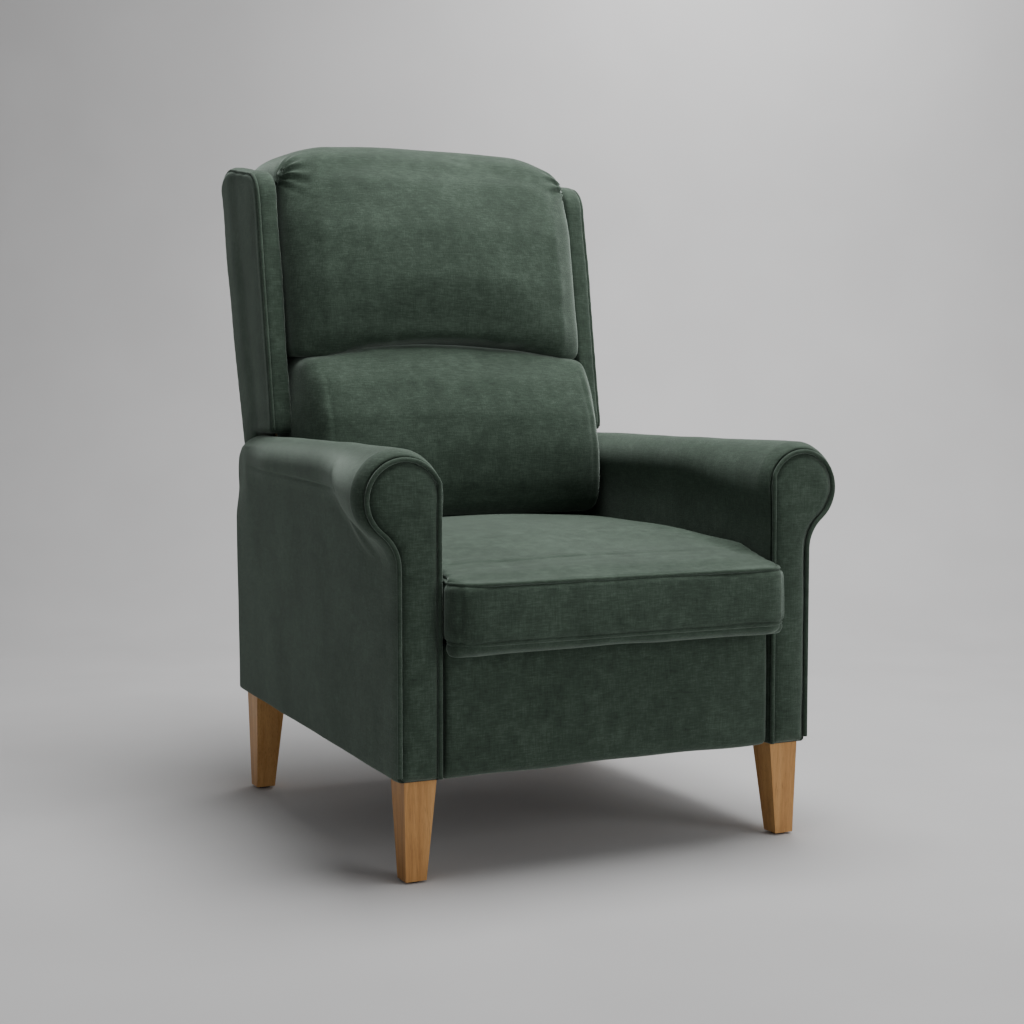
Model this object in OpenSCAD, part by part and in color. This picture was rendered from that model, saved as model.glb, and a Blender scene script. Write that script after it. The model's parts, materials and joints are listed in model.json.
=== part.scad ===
// Push-back wing recliner on four wooden legs.
// The arms, legs and base stand still. The seat glides forward on swing links,
// the back tilts on the seat, and the footrest unfolds from under the seat.
// Depths ("stations") are measured back from the front faces of the arms.

/* [Arms] */
// Height of the arm tops above the floor
arm_h = 601; // [590:1:606]
// Distance between the inner faces of the two arms
seat_gap = 540; // [536:1:548]
// Thickness of an arm below its roll
arm_t = 66; // [64:1:72]
// Depth of an arm, front face to rear face
arm_d = 716; // [712:1:724]
// Radius of the padded arm roll
roll_r = 65; // [60:1:66]
// Radius of the soft corner at the rear end of an arm
arm_end_r = 55; // [45:1:60]
// Height of the body's lower edge at the front
skirt_front = 143; // [138:1:146]
// Height of the body's lower edge at the rear
skirt_rear = 168; // [150:1:172]

/* [Legs] */
// Side of a leg's square top
leg_top = 50; // [46:1:54]
// Side of a leg's square foot
leg_foot = 31; // [28:1:34]
// Distance from a leg's outer face to the arm's outer face
leg_inset = 10; // [6:1:12]

/* [Seat] */
// Height of the seat cushion's front seam
cushion_edge_z = 420; // [414:1:426]
// Height of the seat cushion's crown
cushion_crown_z = 462; // [456:1:463]
// Overhang of the seat cushion in front of the arms
cushion_overhang = 50; // [40:1:56]

/* [Back] */
// Height of the top of the headrest
top_z = 1103; // [1095:1:1110]
// Lean of the outside back from upright, in degrees
lean = 15; // [14.5:0.1:15.5]
// Height of the lower edge of the wings
wing_z = 609; // [609:1:614]
// Half of the width over the two wings
wing_x = 311; // [308:1:316]
// Thickness of a wing
wing_t = 38; // [34:1:40]

/* [Motion] */
// Length of the links that the seat swings on
link_l = 110; // [108:0.5:112]
// Rearward lean of the seat links with the back upright, in degrees
link_lean = 25; // [24:0.1:26]
// Length of the folding links of the footrest
ottoman_l = 145; // [143:1:147]

/* [Hidden] */
$fn = 64;

front_y = -417;             // row Y of the arm fronts
fit = 0.3;                  // gap between a part and the pocket around it
pin_r = 4.95;               // every link pin
bore_r = 5;                 // running bore on a pin
open_bore_r = 5.3;          // bore of the pivot that closes a loop
head_r = 8;                 // pin heads and shoulders
eps = 1;

// Layers across the chair, from the arm inwards: [inner x, outer x]
arm_in = seat_gap / 2;
arm_out = arm_in + arm_t;
frame_x = [arm_in + 15, arm_out - 16];
plate_x = [frame_x[0] - 4.4, frame_x[0] - 0.2];
swing_x = [plate_x[0] - 7.6, plate_x[0] - 3.6];
rail_x = [arm_in - 5, arm_in - 1];
ottoman_x = [rail_x[0] - 7, rail_x[0] - 3];
carrier_x = [ottoman_x[0] - 7, ottoman_x[0] - 3];
rod_x = [carrier_x[0] - 7, carrier_x[0] - 3];
bracket_x = [rod_x[0] - 7, rod_x[0] - 3];
back_x = ottoman_x;         // the back brackets share the footrest links' layer

// Arm section
roll_x = arm_in + 56;
roll_z = arm_h - roll_r;
facing_r = roll_r - 8;       // the roll stands proud of the facing all round
neck_r = 60;
facing_t = 11.7;
cover_y = facing_t + fit;
front_plate = 18;           // the full roll's section keeps its shape this far back
roll_in = roll_x - roll_r;
slim_r = (arm_out + 9 - roll_in) / 2;   // roll behind the flare
flare_d = 215;              // the roll slims down over this depth
inner_wall_z = 345;         // the arm's inner cover ends here, below the cushion
inner_wall_y = 45;
facing_foot = skirt_front + 0.5;

// Legs
leg_rake = 5;               // a leg's outer faces slope in by this much
glide_h = 3;
glide_r = 11;
leg_middle = leg_rake + leg_foot / 2;
leg_bolt_r = 4;
leg_bolt_z = [101, 195];
rear_leg_y = arm_d - leg_inset - 6;

// Timber frame of an arm
frame_y = [21, 701];
frame_top = 505;
frame_rail_top = 240;

// Seat pivots, [station, height]
swing_base = [[400, 212], [560, 212]];
swing_rise = [link_l * sin(link_lean), link_l * cos(link_lean)];
link_r = 11;
torque_tube_r = 9;
cross_tube_r = 11;
cross_tube_z = 206;
tube_wall = 2;
plate_z = [192, 236];
bolt_r = 4;
back_hinge = [640, 340];
guide_rise = 132;           // the guide pin is this far above the back hinge
guide_pin = [back_hinge[0], back_hinge[1] + guide_rise];
guide_r = 6;
guide_slot_r = 6.8;
bracket_bolt_r = 3;

// Seat
rail_y = [34, 640];
rail_z = [298, 328];
webbing_z = 326;
webbing_t = 2.5;
deck_z = webbing_z + webbing_t + 0.3;
deck_t = 6.7;
cushion_half = arm_in - 5;
cushion_back = 586;
cushion_base_z = 336;
nose_z = 318;               // the cushion's overhang hangs this low in front of the footrest
cushion_rear_z = cushion_crown_z - 10;

// Footrest pivots, [station, height]
ottoman_pivot = [100, 300];
ottoman_start = 315;        // direction of the folded link, in degrees
ottoman_elbow = ottoman_pivot + ottoman_l * [cos(ottoman_start), sin(ottoman_start)];
board_pivot = [50, 275];
carrier_v = board_pivot - ottoman_elbow;
carrier_l = norm(carrier_v);
carrier_a = atan2(carrier_v[1], carrier_v[0]);
pair_gap = 64;              // distance between the front and rear ottoman pivots
pair_v = -carrier_v / carrier_l * pair_gap;
crank_half = 60;            // the link turns 120 degrees, half on each side
board_half = 45;            // the board turns 90 degrees, half on each side
crank_r = 32;
crank_a = carrier_a + 90 + crank_half;
crank_pin = ottoman_elbow + crank_r * [cos(crank_a), sin(crank_a)];
arm_r = crank_r * sin(crank_half) / sin(board_half);
arm_a = carrier_a + 90 + board_half;
board_pin = board_pivot + arm_r * [cos(arm_a), sin(arm_a)];
// the rod keeps its direction, so its far bore sits at the middle of the pin's drift
rod_shift = ((arm_r - crank_r) + (arm_r * cos(board_half) - crank_r * cos(crank_half))) / 2;
rod_end = crank_pin + carrier_v + rod_shift * [cos(carrier_a + 90), sin(carrier_a + 90)];
rod_pin_r = 4;
rod_bore_r = 6.9;

// Back shell
back_foot = [693, 350];     // lower rear edge of the outside back
back_l = 705;
panel_t = 8;
post_t = 33;
post_front = panel_t + 1 + post_t;
pad_back = (post_front + 2.7) / cos(lean);
lumbar_x = arm_in - 16;
headrest_x = wing_x - wing_t - 4;
seam_z = 760;
seam_r = 1171;
seam_gap = 2;
lumbar_foot = cushion_crown_z + 4;

FABRIC = "#2f4a3d";
PIPING = "#263d32";
OAK = "#c08a4c";
TIMBER = "#c9ab7c";
STEEL = "#4a4d50";
WEB = "#2b2b2b";

// Height of the body's lower edge at a station
function skirt(y) = skirt_front + (skirt_rear - skirt_front) * y / arm_d;
// Station of the outside back's rear face at a height
function back_y(z) = back_foot[0] + (z - back_foot[1]) * tan(lean);
// Points along an arc, from angle a0 to a1
function arc(c, r, a0, a1, n = 8) =
    [for (i = [0:n]) c + r * [cos(a0 + (a1 - a0) * i / n), sin(a0 + (a1 - a0) * i / n)]];

// Moves a shape drawn at its station to the row frame
module placed() { translate([0, front_y, 0]) children(); }
// s = -1 is the left side seen from the front, s = 1 the right
module on_side(s) { mirror([s < 0 ? 1 : 0, 0, 0]) children(); }
module both_sides() { for (s = [-1, 1]) on_side(s) children(); }
// Gives a (depth, height) profile its width, x[0] to x[1]
module across(x) {
    translate([x[0], 0, 0]) rotate([90, 0, 90]) linear_extrude(x[1] - x[0]) children();
}
// Gives an (x, height) profile its depth, y[0] to y[1]
module along(y) {
    translate([0, y[1], 0]) rotate([90, 0, 0]) linear_extrude(y[1] - y[0]) children();
}
// Frame of the leaning back: z up the back, y = 0 on its rear face
module leaning() {
    translate([0, back_foot[0], back_foot[1]]) rotate([-lean, 0, 0]) children();
}
// Round-ended bar between two pivots
module bar(p, q, r) {
    n = [q[1] - p[1], p[0] - q[0]] / norm(q - p) * r;
    translate(p) circle(r);
    translate(q) circle(r);
    polygon([p + n, q + n, q - n, p - n]);
}
module hole(p, r) { translate(p) circle(r); }
// Stepped pin across the layers: shank, and heads given as [inner x, outer x]
module pin(p, shank, heads, r = pin_r, cap_r = head_r) {
    across(shank) hole(p, r);
    for (h = heads) across(h) hole(p, cap_r);
}

// ---- Legs

module leg_side(outer, inward) {
    high = 200;
    spread = (leg_top - leg_foot - leg_rake) * (high - glide_h) / (skirt_front - glide_h);
    polygon([[outer + inward * leg_rake, glide_h], [outer, high],
             [outer + inward * (leg_rake + leg_foot + spread), high],
             [outer + inward * (leg_rake + leg_foot), glide_h]]);
}

module leg(s, front) {
    outer_x = arm_out - leg_inset;
    outer_y = front ? leg_inset : rear_leg_y;
    middle_y = outer_y + (front ? 1 : -1) * leg_middle;
    color(OAK) placed() on_side(s) difference() {
        intersection() {
            along([outer_y - 60, outer_y + 60]) leg_side(outer_x, -1);
            across([outer_x - 60, outer_x + 5]) leg_side(outer_y, front ? 1 : -1);
            across([0, arm_out]) polygon([[0, 0], [0, skirt(0)], [arm_d, skirt(arm_d)], [arm_d, 0]]);
        }
        translate([leg_x(), middle_y, leg_bolt_z[0] - 1]) cylinder(r = leg_bolt_r + 0.1, h = 120);
    }
}
function leg_x() = arm_out - leg_inset - leg_middle;
function leg_ys() = [leg_inset + leg_middle, rear_leg_y - leg_middle];

module leg_glides() {
    color(WEB) placed() both_sides() for (y = leg_ys())
        translate([leg_x(), y, 0]) cylinder(r = glide_r, h = glide_h);
}

module leg_bolts() {
    color(STEEL) placed() both_sides() for (y = leg_ys())
        translate([leg_x(), y, leg_bolt_z[0]])
            cylinder(r = leg_bolt_r, h = leg_bolt_z[1] - leg_bolt_z[0]);
}

// ---- Arms

module arm_outline(inset = 0, r = facing_r) {
    neck_x = arm_out + neck_r;
    neck_z = roll_z - sqrt(pow(r + neck_r, 2) - pow(neck_x - roll_x, 2));
    translate([roll_x, roll_z]) circle(r - inset);
    translate([arm_in + inset, 0]) square([arm_t - 2 * inset, roll_z]);
    difference() {
        polygon([[arm_in + 2 * inset, neck_z], [neck_x, neck_z], [roll_x, roll_z]]);
        translate([neck_x, neck_z]) circle(neck_r + inset);
    }
}

// Section of the arm behind the flare
module slim_outline() {
    translate([roll_in + slim_r, arm_h - slim_r]) circle(slim_r);
    translate([arm_in, 0]) square([arm_t, arm_h - slim_r]);
}

// Cone that touches the roll's inner side and top all along, and slims from the front to the rear
module roll_flare() {
    inset = 0.6;
    front_r = roll_r - 1;
    k = (front_r - slim_r) / flare_d;
    apex = [roll_in + inset, cover_y + front_r / k, arm_h - inset];
    axis = [k, -1, -k];
    len = front_r / k * norm(axis) + 20;
    intersection() {
        translate(apex) rotate(a = 90 + atan2(k, norm([k, 1])), v = cross([0, 0, 1], axis))
            cylinder(r1 = 0, r2 = len * k / sqrt(1 + k * k), h = len);
        translate([arm_in - 20, cover_y, 300]) cube([200, flare_d + 20, arm_h]);
    }
}

module arm_profile(y0) {
    difference() {
        union() {
            translate([y0, 0]) square([arm_d - arm_end_r - y0, arm_h + eps]);
            translate([y0, 0]) square([arm_d - y0, arm_h - arm_end_r]);
            translate([arm_d - arm_end_r, arm_h - arm_end_r]) circle(arm_end_r);
        }
        polygon([[-eps, -eps], [-eps, skirt(-eps)], [arm_d + eps, skirt(arm_d + eps)],
                 [arm_d + eps, -eps]]);
    }
}

module frame_outline(grow = 0) {
    polygon([[frame_y[0] - grow, skirt(frame_y[0] - grow)],
             [frame_y[1] + grow, skirt(frame_y[1] + grow)],
             [frame_y[1] + grow, frame_top + grow], [frame_y[0] - grow, frame_top + grow]]);
}

module arm_frame(s) {
    windows = [[75, 350], [400, 590]];
    color(TIMBER) placed() on_side(s) difference() {
        across(frame_x) difference() {
            frame_outline();
            for (w = windows)
                translate([w[0], frame_rail_top]) square([w[1] - w[0], 445 - frame_rail_top]);
            hole(guide_pin, guide_r + 0.05);
            for (p = bolt_points()) hole(p, bolt_r);
        }
        for (y = leg_ys())
            translate([leg_x(), y, 90]) cylinder(r = leg_bolt_r + 0.05, h = leg_bolt_z[1] - 89);
    }
}

module arm_cover(s) {
    color(FABRIC) placed() on_side(s) difference() {
        intersection() {
            union() {
                along([cover_y, arm_d]) slim_outline();
                roll_flare();
                along([cover_y, cover_y + front_plate]) arm_outline(0, roll_r);
            }
            across([arm_in - 20, roll_x + roll_r + 5]) arm_profile(cover_y);
        }
        across([frame_x[0] - fit, frame_x[1] + fit]) {
            frame_outline(fit);
            translate([frame_y[0] - fit, 0]) square([frame_y[1] - frame_y[0] + 2 * fit, 200]);
        }
        translate([arm_in - 20, inner_wall_y, 0])
            cube([frame_x[0] - arm_in + 20, arm_d, inner_wall_z]);
        across([arm_in - 20, frame_x[0] + eps]) hole(guide_pin, guide_r + 1);
    }
}

module arm_facing(s) {
    color(FABRIC) placed() on_side(s) intersection() {
        along([0, facing_t]) arm_outline(4.2);
        along([-eps, facing_t + eps]) translate([0, facing_foot]) square([500, 500]);
    }
}

module arm_piping(s) {
    color(PIPING) placed() on_side(s) intersection() {
        along([1.5, facing_t - 2]) difference() {
            arm_outline(-1);
            arm_outline(4);
        }
        along([-eps, facing_t + eps]) translate([0, facing_foot]) square([500, 500]);
    }
}

// ---- Base

module rear_rail() {
    color(TIMBER) placed()
        translate([-frame_x[0] + 0.1, frame_y[1] - 22, skirt(frame_y[1])])
        cube([2 * frame_x[0] - 0.2, 21, 70]);
}

module rear_base_panel() {
    low = skirt(714);
    color(FABRIC) placed() along([702, 714]) {
        translate([-frame_x[0] + 1, low]) square([2 * frame_x[0] - 2, inner_wall_z - 1 - low]);
        translate([-arm_in + 1, low]) square([seat_gap - 2, 360 - low]);
    }
}

function bolt_points() = [[430, 222], [520, 222], [600, 222]];

module mechanism_plate(s) {
    color(STEEL) placed() on_side(s) across(plate_x) difference() {
        translate([380, plate_z[0]]) square([288, plate_z[1] - plate_z[0]]);
        for (p = swing_base) hole(p, bore_r);
        for (p = bolt_points()) hole(p, bolt_r);
    }
}

module mechanism_bolts() {
    color(STEEL) placed() both_sides() for (p = bolt_points())
        pin(p, [plate_x[0] - 1, frame_x[1] - 4], [[plate_x[0] - 3.2, plate_x[0] - 0.1]],
            bolt_r - 0.05, 6.5);
}

module cross_tube(p, half, r) {
    across([-half, half]) difference() {
        hole(p, r);
        hole(p, r - tube_wall);
    }
}

module base_cross_tubes() {
    color(STEEL) placed() for (y = [475, 644])
        cross_tube([y, cross_tube_z], plate_x[0] - 0.1, cross_tube_r);
}

module seat_link_base_pins() {
    color(STEEL) placed() both_sides() for (p = swing_base)
        pin(p, [swing_x[0] - 1, plate_x[1] - 0.2],
            [[swing_x[0] - 2.7, swing_x[0] - 0.2], [swing_x[1] + 0.2, plate_x[0] - 0.1]]);
}

module back_guide_pins() {
    color(STEEL) placed() both_sides()
        pin(guide_pin, [back_x[0] - 0.5, frame_x[1] - 5], [], guide_r);
}

// ---- Seat swing links

module swing_links(base, top_bore) {
    top = base + swing_rise;
    both_sides() across(swing_x) difference() {
        bar(base, top, link_r);
        hole(base, bore_r);
        hole(top, top_bore);
    }
}

module seat_front_links() { color(STEEL) placed() swing_links(swing_base[0], bore_r); }
module seat_rear_links() { color(STEEL) placed() swing_links(swing_base[1], open_bore_r); }

module seat_torque_tube() {
    color(STEEL) placed()
        cross_tube(swing_base[0] + swing_rise / 2, swing_x[0] - 0.1, torque_tube_r);
}

// ---- Seat

module seat_rail(s) {
    color(STEEL) placed() on_side(s) across(rail_x) difference() {
        union() {
            polygon([[rail_y[0], rail_z[1]], [rail_y[0], rail_z[0]], [76, rail_z[0]], [88, 286],
                     [140, 258], [172, 258], [182, rail_z[0]], [rail_y[1], rail_z[0]],
                     [rail_y[1], rail_z[1]]]);
            bar([back_hinge[0] - 30, (rail_z[0] + rail_z[1]) / 2], back_hinge, 15);
        }
        for (b = swing_base) hole(b + swing_rise, bore_r);
        for (p = [ottoman_pivot, ottoman_pivot + pair_v, back_hinge]) hole(p, bore_r);
    }
}

module seat_cross_rail(y, z) {
    color(TIMBER) placed() translate([-rail_x[0] + 0.1, y[0], z[0]])
        cube([2 * rail_x[0] - 0.2, y[1] - y[0], z[1] - z[0]]);
}
module seat_front_rail() { seat_cross_rail([50, 72], [306, webbing_z - 0.2]); }
module seat_rear_rail() { seat_cross_rail([560, 585], [rail_z[0], webbing_z - 0.2]); }

module seat_webbing() {
    color(WEB) placed() for (i = [-2:2])
        translate([i * 92 - 30, 51, webbing_z]) cube([60, 533, webbing_t]);
}

module seat_deck() {
    color(WEB) placed() translate([-arm_in + 8, 45, deck_z]) cube([seat_gap - 16, 557, deck_t]);
}

module seat_cushion() {
    front = -cushion_overhang;
    crown_r = 2600;
    top_r = 22;
    low_r = 24;
    color(FABRIC) placed() intersection() {
        along([front, cushion_back]) intersection() {
            translate([-cushion_half, nose_z]) square([2 * cushion_half, 200]);
            translate([0, cushion_crown_z - crown_r]) circle(crown_r, $fn = 360);
        }
        across([-cushion_half - eps, cushion_half + eps]) polygon(concat(
            [[cushion_back, cushion_base_z], [cushion_back, cushion_rear_z],
             [420, cushion_crown_z], [200, cushion_crown_z], [60, cushion_crown_z - 14]],
            arc([front + top_r, cushion_edge_z - top_r], top_r, 75, 180, 6),
            arc([front + low_r, nose_z + low_r], low_r, 180, 270, 6),
            [[-10, nose_z], [6, cushion_base_z]]));
    }
}

module seat_link_top_pins() {
    color(STEEL) placed() both_sides() for (b = swing_base)
        pin(b + swing_rise, [rail_x[0] - 1, swing_x[1] + 1],
            [[rail_x[0] - 2.8, rail_x[0] - 0.1], [rail_x[1] + 0.1, swing_x[0] - 0.2],
             [swing_x[1] + 0.2, plate_x[0] - 0.5]]);
}

module footrest_mount_pins() {
    color(STEEL) placed() both_sides() for (p = [ottoman_pivot, ottoman_pivot + pair_v])
        pin(p, [ottoman_x[0] - 1, rail_x[1] - 0.1],
            [[ottoman_x[0] - 2.6, ottoman_x[0] - 0.2], [ottoman_x[1] + 0.2, rail_x[0] - 0.1]]);
}

module back_hinge_pins() {
    color(STEEL) placed() both_sides()
        pin(back_hinge, [back_x[0] - 1, rail_x[1] - 0.1],
            [[back_x[0] - 3, back_x[0] - 0.2], [back_x[1] + 0.2, rail_x[0] - 0.1]]);
}

// ---- Back

post_x = [back_x[0] - 39, back_x[0] - 3.2];
module back_frame() {
    color(TIMBER) placed() leaning() translate([0, -post_front, 0]) {
        both_sides() translate([post_x[0], 0, 0]) difference() {
            cube([post_x[1] - post_x[0], post_t, back_l - 25]);
            translate([post_x[1] - post_x[0] - 30, 0, 0]) rotate([lean, 0, 0])
                for (p = bracket_bolts())
                    translate([0, p[0] - back_foot[0] + post_front * cos(lean),
                               p[1] - back_foot[1] - post_front * sin(lean)])
                        rotate([0, 90, 0]) cylinder(r = bracket_bolt_r + 0.1, h = 40);
        }
        for (z = [4, 250, 610])
            translate([-post_x[0] + 0.05, 3, z]) cube([2 * post_x[0] - 0.1, post_t - 6, 55]);
    }
}

function bracket_bolts() = [[688, 425], [703, 480]];

module back_bracket(s) {
    slot = [guide_rise - 8, guide_rise + 4];
    color(STEEL) placed() on_side(s) {
        across(back_x) difference() {
            union() {
                hole(back_hinge, 16);
                polygon([[624, 340], [656, 340], [712, 465], [712, 505], [624, 505]]);
            }
            hole(back_hinge, bore_r);
            for (z = slot) hole(back_hinge + [0, z], guide_slot_r);
            translate(back_hinge + [-guide_slot_r, slot[0]])
                square([2 * guide_slot_r, slot[1] - slot[0]]);
            for (p = bracket_bolts()) hole(p, bracket_bolt_r + 0.1);
        }
        across([post_x[1] + 0.1, back_x[0]]) difference() {
            polygon([[668, 400], [684, 400], [712, 465], [712, 505], [690, 505]]);
            for (p = bracket_bolts()) hole(p, bracket_bolt_r + 0.1);
        }
    }
}

module back_bracket_bolts() {
    color(STEEL) placed() both_sides() for (p = bracket_bolts())
        pin(p, [post_x[1] - 28, back_x[1] + 0.2], [[back_x[1] + 0.1, back_x[1] + 2.5]],
            bracket_bolt_r, 6);
}

module back_webbing() {
    color(WEB) placed() leaning() for (z = [90, 165, 340, 420, 500])
        translate([-post_x[1] + 4, -post_front - 2.2, z]) cube([2 * post_x[1] - 8, 2, 50]);
}

// Outline of the arched seam between the two back cushions, filled below it
module seam_arch(drop = 0) {
    translate([0, seam_z - seam_r - drop]) circle(seam_r, $fn = 240);
}

module lumbar_cushion() {
    z_low = 362;
    color(FABRIC) placed() intersection() {
        across([-lumbar_x, lumbar_x]) polygon([
            [back_y(z_low) - pad_back, z_low], [592, z_low], [592, lumbar_foot - 2],
            [530, lumbar_foot], [508, 482], [500, 520], [502, 580], [515, 640], [542, 695],
            [575, 735], [600, seam_z + 5], [back_y(seam_z + 5) - pad_back, seam_z + 5]]);
        along([450, 800]) intersection() {
            seam_arch();
            translate([-lumbar_x, 0]) square([2 * lumbar_x, 1000]);
        }
    }
}

module headrest_cushion() {
    shell_top = 1034;
    color(FABRIC) placed() intersection() {
        across([-headrest_x, headrest_x]) polygon(concat(
            [[back_y(700) - pad_back, 700], [600, 700], [578, 770], [588, 860], [612, 950], [650, 1030]],
            arc([725, top_z - 60], 60, 165, 90, 6),
            arc([835, top_z - 32], 32, 80, 0, 6),
            [[back_y(shell_top) - panel_t - 2, shell_top], [back_y(shell_top) - pad_back, shell_top]]));
        along([500, 900]) difference() {
            intersection() {
                union() {
                    translate([-headrest_x, 600]) square([2 * headrest_x, top_z - 645]);
                    for (s = [-1, 1]) translate([s * (headrest_x - 45), top_z - 52]) circle(45);
                    translate([-headrest_x + 45, 600]) square([2 * headrest_x - 90, top_z - 600]);
                }
                translate([0, top_z - 3000]) circle(3000, $fn = 360);
            }
            seam_arch(-seam_gap);
        }
    }
}

wing_top = 1030;            // height of a wing's rear corner
wing_tail_z = 574;          // lower end of a wing, behind the arm
// Wing outline; trim moves its rear edge off the outside back's rear face.
// The lower edge passes the rear end of the arm at an even distance.
module wing_outline(inset, trim) {
    arm_end = [arm_d - arm_end_r, arm_h - arm_end_r];
    pass_r = (wing_z - arm_end[1] + inset) / cos(22.5);
    front_low = [600 + inset, wing_z + inset];
    pass_high = arm_end + pass_r * [cos(67.5), sin(67.5)];
    pass_low = arm_end + pass_r * [cos(22.5), sin(22.5)];
    tail = [pass_low[0], max(pass_low[1], wing_tail_z + inset)];
    corner = [718, 995];
    corner_r = 50 - inset;
    rear_low = [back_y(wing_tail_z + inset) - trim, wing_tail_z + inset];
    rear_top = [back_y(wing_top - inset) - trim, wing_top - inset];
    polygon(concat([rear_low, tail, pass_high, front_low],
        arc(corner, corner_r, 169, 92, 8), [rear_top]));
}

module wing_cleats() {
    color(TIMBER) placed() leaning() both_sides()
        translate([post_x[1] + 0.1, -post_front, 290])
        cube([wing_x - wing_t - post_x[1] - 0.3, post_t, 370]);
}

wing_board = [wing_x - wing_t + 10, wing_x - 12];
module wing_frame(s) {
    color(TIMBER) placed() on_side(s) across(wing_board) wing_outline(12, panel_t + 1);
}

module wing_cover(s) {
    color(FABRIC) placed() on_side(s) difference() {
        across([wing_x - wing_t, wing_x]) wing_outline(0, panel_t + 0.3);
        across([wing_board[0] - fit, wing_board[1] + fit]) {
            wing_outline(12 - fit, panel_t - 10);
        }
    }
}

module outside_back_panel() {
    crown_r = 1800;
    low_l = (wing_tail_z - back_foot[1]) / cos(lean) + 4;
    color(FABRIC) placed() leaning() along([-panel_t, 0]) {
        translate([-lumbar_x, 0]) square([2 * lumbar_x, low_l]);
        intersection() {
            translate([-wing_x, low_l - 0.05]) square([2 * wing_x, back_l]);
            translate([0, back_l + 28 - crown_r]) circle(crown_r, $fn = 360);
        }
    }
}

// ---- Footrest

module ottoman_front_links() {
    color(STEEL) placed() both_sides() across(ottoman_x) difference() {
        union() {
            bar(ottoman_pivot, ottoman_elbow, 9);
            bar(ottoman_elbow, crank_pin, 9);
        }
        for (p = [ottoman_pivot, ottoman_elbow]) hole(p, bore_r);
        hole(crank_pin, rod_pin_r + 0.05);
    }
}

module ottoman_rear_links() {
    color(STEEL) placed() both_sides() across(ottoman_x) difference() {
        bar(ottoman_pivot + pair_v, ottoman_elbow + pair_v, 9);
        hole(ottoman_pivot + pair_v, bore_r);
        hole(ottoman_elbow + pair_v, bore_r);
    }
}

module elbow_pin(p) {
    both_sides() pin(p, [carrier_x[0] - 0.5, ottoman_x[1] + 0.5],
        [[carrier_x[0] - 2.6, carrier_x[0] - 0.2], [carrier_x[1] + 0.2, ottoman_x[0] - 0.1],
         [ottoman_x[1] + 0.1, rail_x[0] - 0.4]]);
}
module ottoman_front_pins() {
    color(STEEL) placed() {
        elbow_pin(ottoman_elbow);
        both_sides() pin(crank_pin, [rod_x[0] - 0.5, ottoman_x[1] + 0.5],
            [[rod_x[0] - 2.6, rod_x[0] - 0.2], [ottoman_x[1] + 0.1, rail_x[0] - 0.4]], rod_pin_r, 7);
    }
}
module ottoman_rear_pins() { color(STEEL) placed() elbow_pin(ottoman_elbow + pair_v); }

module ottoman_carriers() {
    color(STEEL) placed() both_sides() across(carrier_x) difference() {
        bar(ottoman_elbow + pair_v, board_pivot, 8);
        hole(ottoman_elbow, bore_r);
        hole(ottoman_elbow + pair_v, open_bore_r);
        hole(board_pivot, bore_r);
    }
}

module carrier_pins() {
    color(STEEL) placed() both_sides() pin(board_pivot, [bracket_x[0] - 0.5, carrier_x[1] + 0.5],
        [[bracket_x[0] - 2.6, bracket_x[0] - 0.2], [carrier_x[1] + 0.1, ottoman_x[0] - 0.4]]);
}

module footrest_control_rods() {
    color(STEEL) placed() both_sides() across(rod_x) difference() {
        union() {
            bar(crank_pin, rod_end, 7.5);
            hole(rod_end, 11);
        }
        hole(crank_pin, rod_pin_r + 0.05);
        hole(rod_end, rod_bore_r);
    }
}

board_y = [26, 38];
module footrest_brackets() {
    color(STEEL) placed() both_sides() {
        across(bracket_x) difference() {
            union() {
                bar(board_pivot, board_pin, 9);
                translate([board_y[1] + 0.1, board_pin[1] - 9])
                    square([board_pin[0] - board_y[1], board_pivot[1] - board_pin[1] + 18]);
            }
            hole(board_pivot, bore_r);
            hole(board_pin, rod_pin_r + 0.05);
        }
        translate([bracket_x[0] - 24, board_y[1] + 0.1, 185]) cube([24, 3, 110]);
    }
}

module footrest_rod_pins() {
    color(STEEL) placed() both_sides() pin(board_pin, [bracket_x[0] - 0.5, rod_x[1] + 0.5],
        [[bracket_x[0] - 2.6, bracket_x[0] - 0.1], [rod_x[1] + 0.2, carrier_x[0] - 0.4]], rod_pin_r, 8.5);
}

module footrest_board() {
    color(TIMBER) placed() translate([-256, board_y[0], 151])
        cube([512, board_y[1] - board_y[0], 174]);
}

module footrest_pad() {
    top = 332;
    r = 16;
    color(FABRIC) placed() across([-cushion_half, cushion_half]) polygon(concat(
        arc([r, skirt_front + r], r, 270, 180, 6),
        arc([r, top - r], r, 180, 90, 6),
        [[board_y[0] - 0.2, top], [board_y[0] - 0.2, skirt_front]]));
}

leg(-1, true);  // leg_front_left
leg(1, true);  // leg_front_right
leg(-1, false);  // leg_rear_left
leg(1, false);  // leg_rear_right
leg_glides();
leg_bolts();
arm_frame(-1);  // arm_frame_left
arm_frame(1);  // arm_frame_right
arm_cover(-1);  // arm_cover_left
arm_cover(1);  // arm_cover_right
arm_facing(-1);  // arm_facing_left
arm_facing(1);  // arm_facing_right
arm_piping(-1);  // arm_piping_left
arm_piping(1);  // arm_piping_right
rear_rail();
rear_base_panel();
mechanism_plate(-1);  // mechanism_plate_left
mechanism_plate(1);  // mechanism_plate_right
mechanism_bolts();
base_cross_tubes();
seat_link_base_pins();
back_guide_pins();
seat_front_links();
seat_torque_tube();
seat_rear_links();
seat_rail(-1);  // seat_rail_left
seat_rail(1);  // seat_rail_right
seat_front_rail();
seat_rear_rail();
seat_webbing();
seat_deck();
seat_cushion();
seat_link_top_pins();
footrest_mount_pins();
back_hinge_pins();
back_frame();
back_bracket(-1);  // back_bracket_left
back_bracket(1);  // back_bracket_right
back_bracket_bolts();
back_webbing();
lumbar_cushion();
headrest_cushion();
wing_cleats();
wing_frame(-1);  // wing_frame_left
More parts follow.
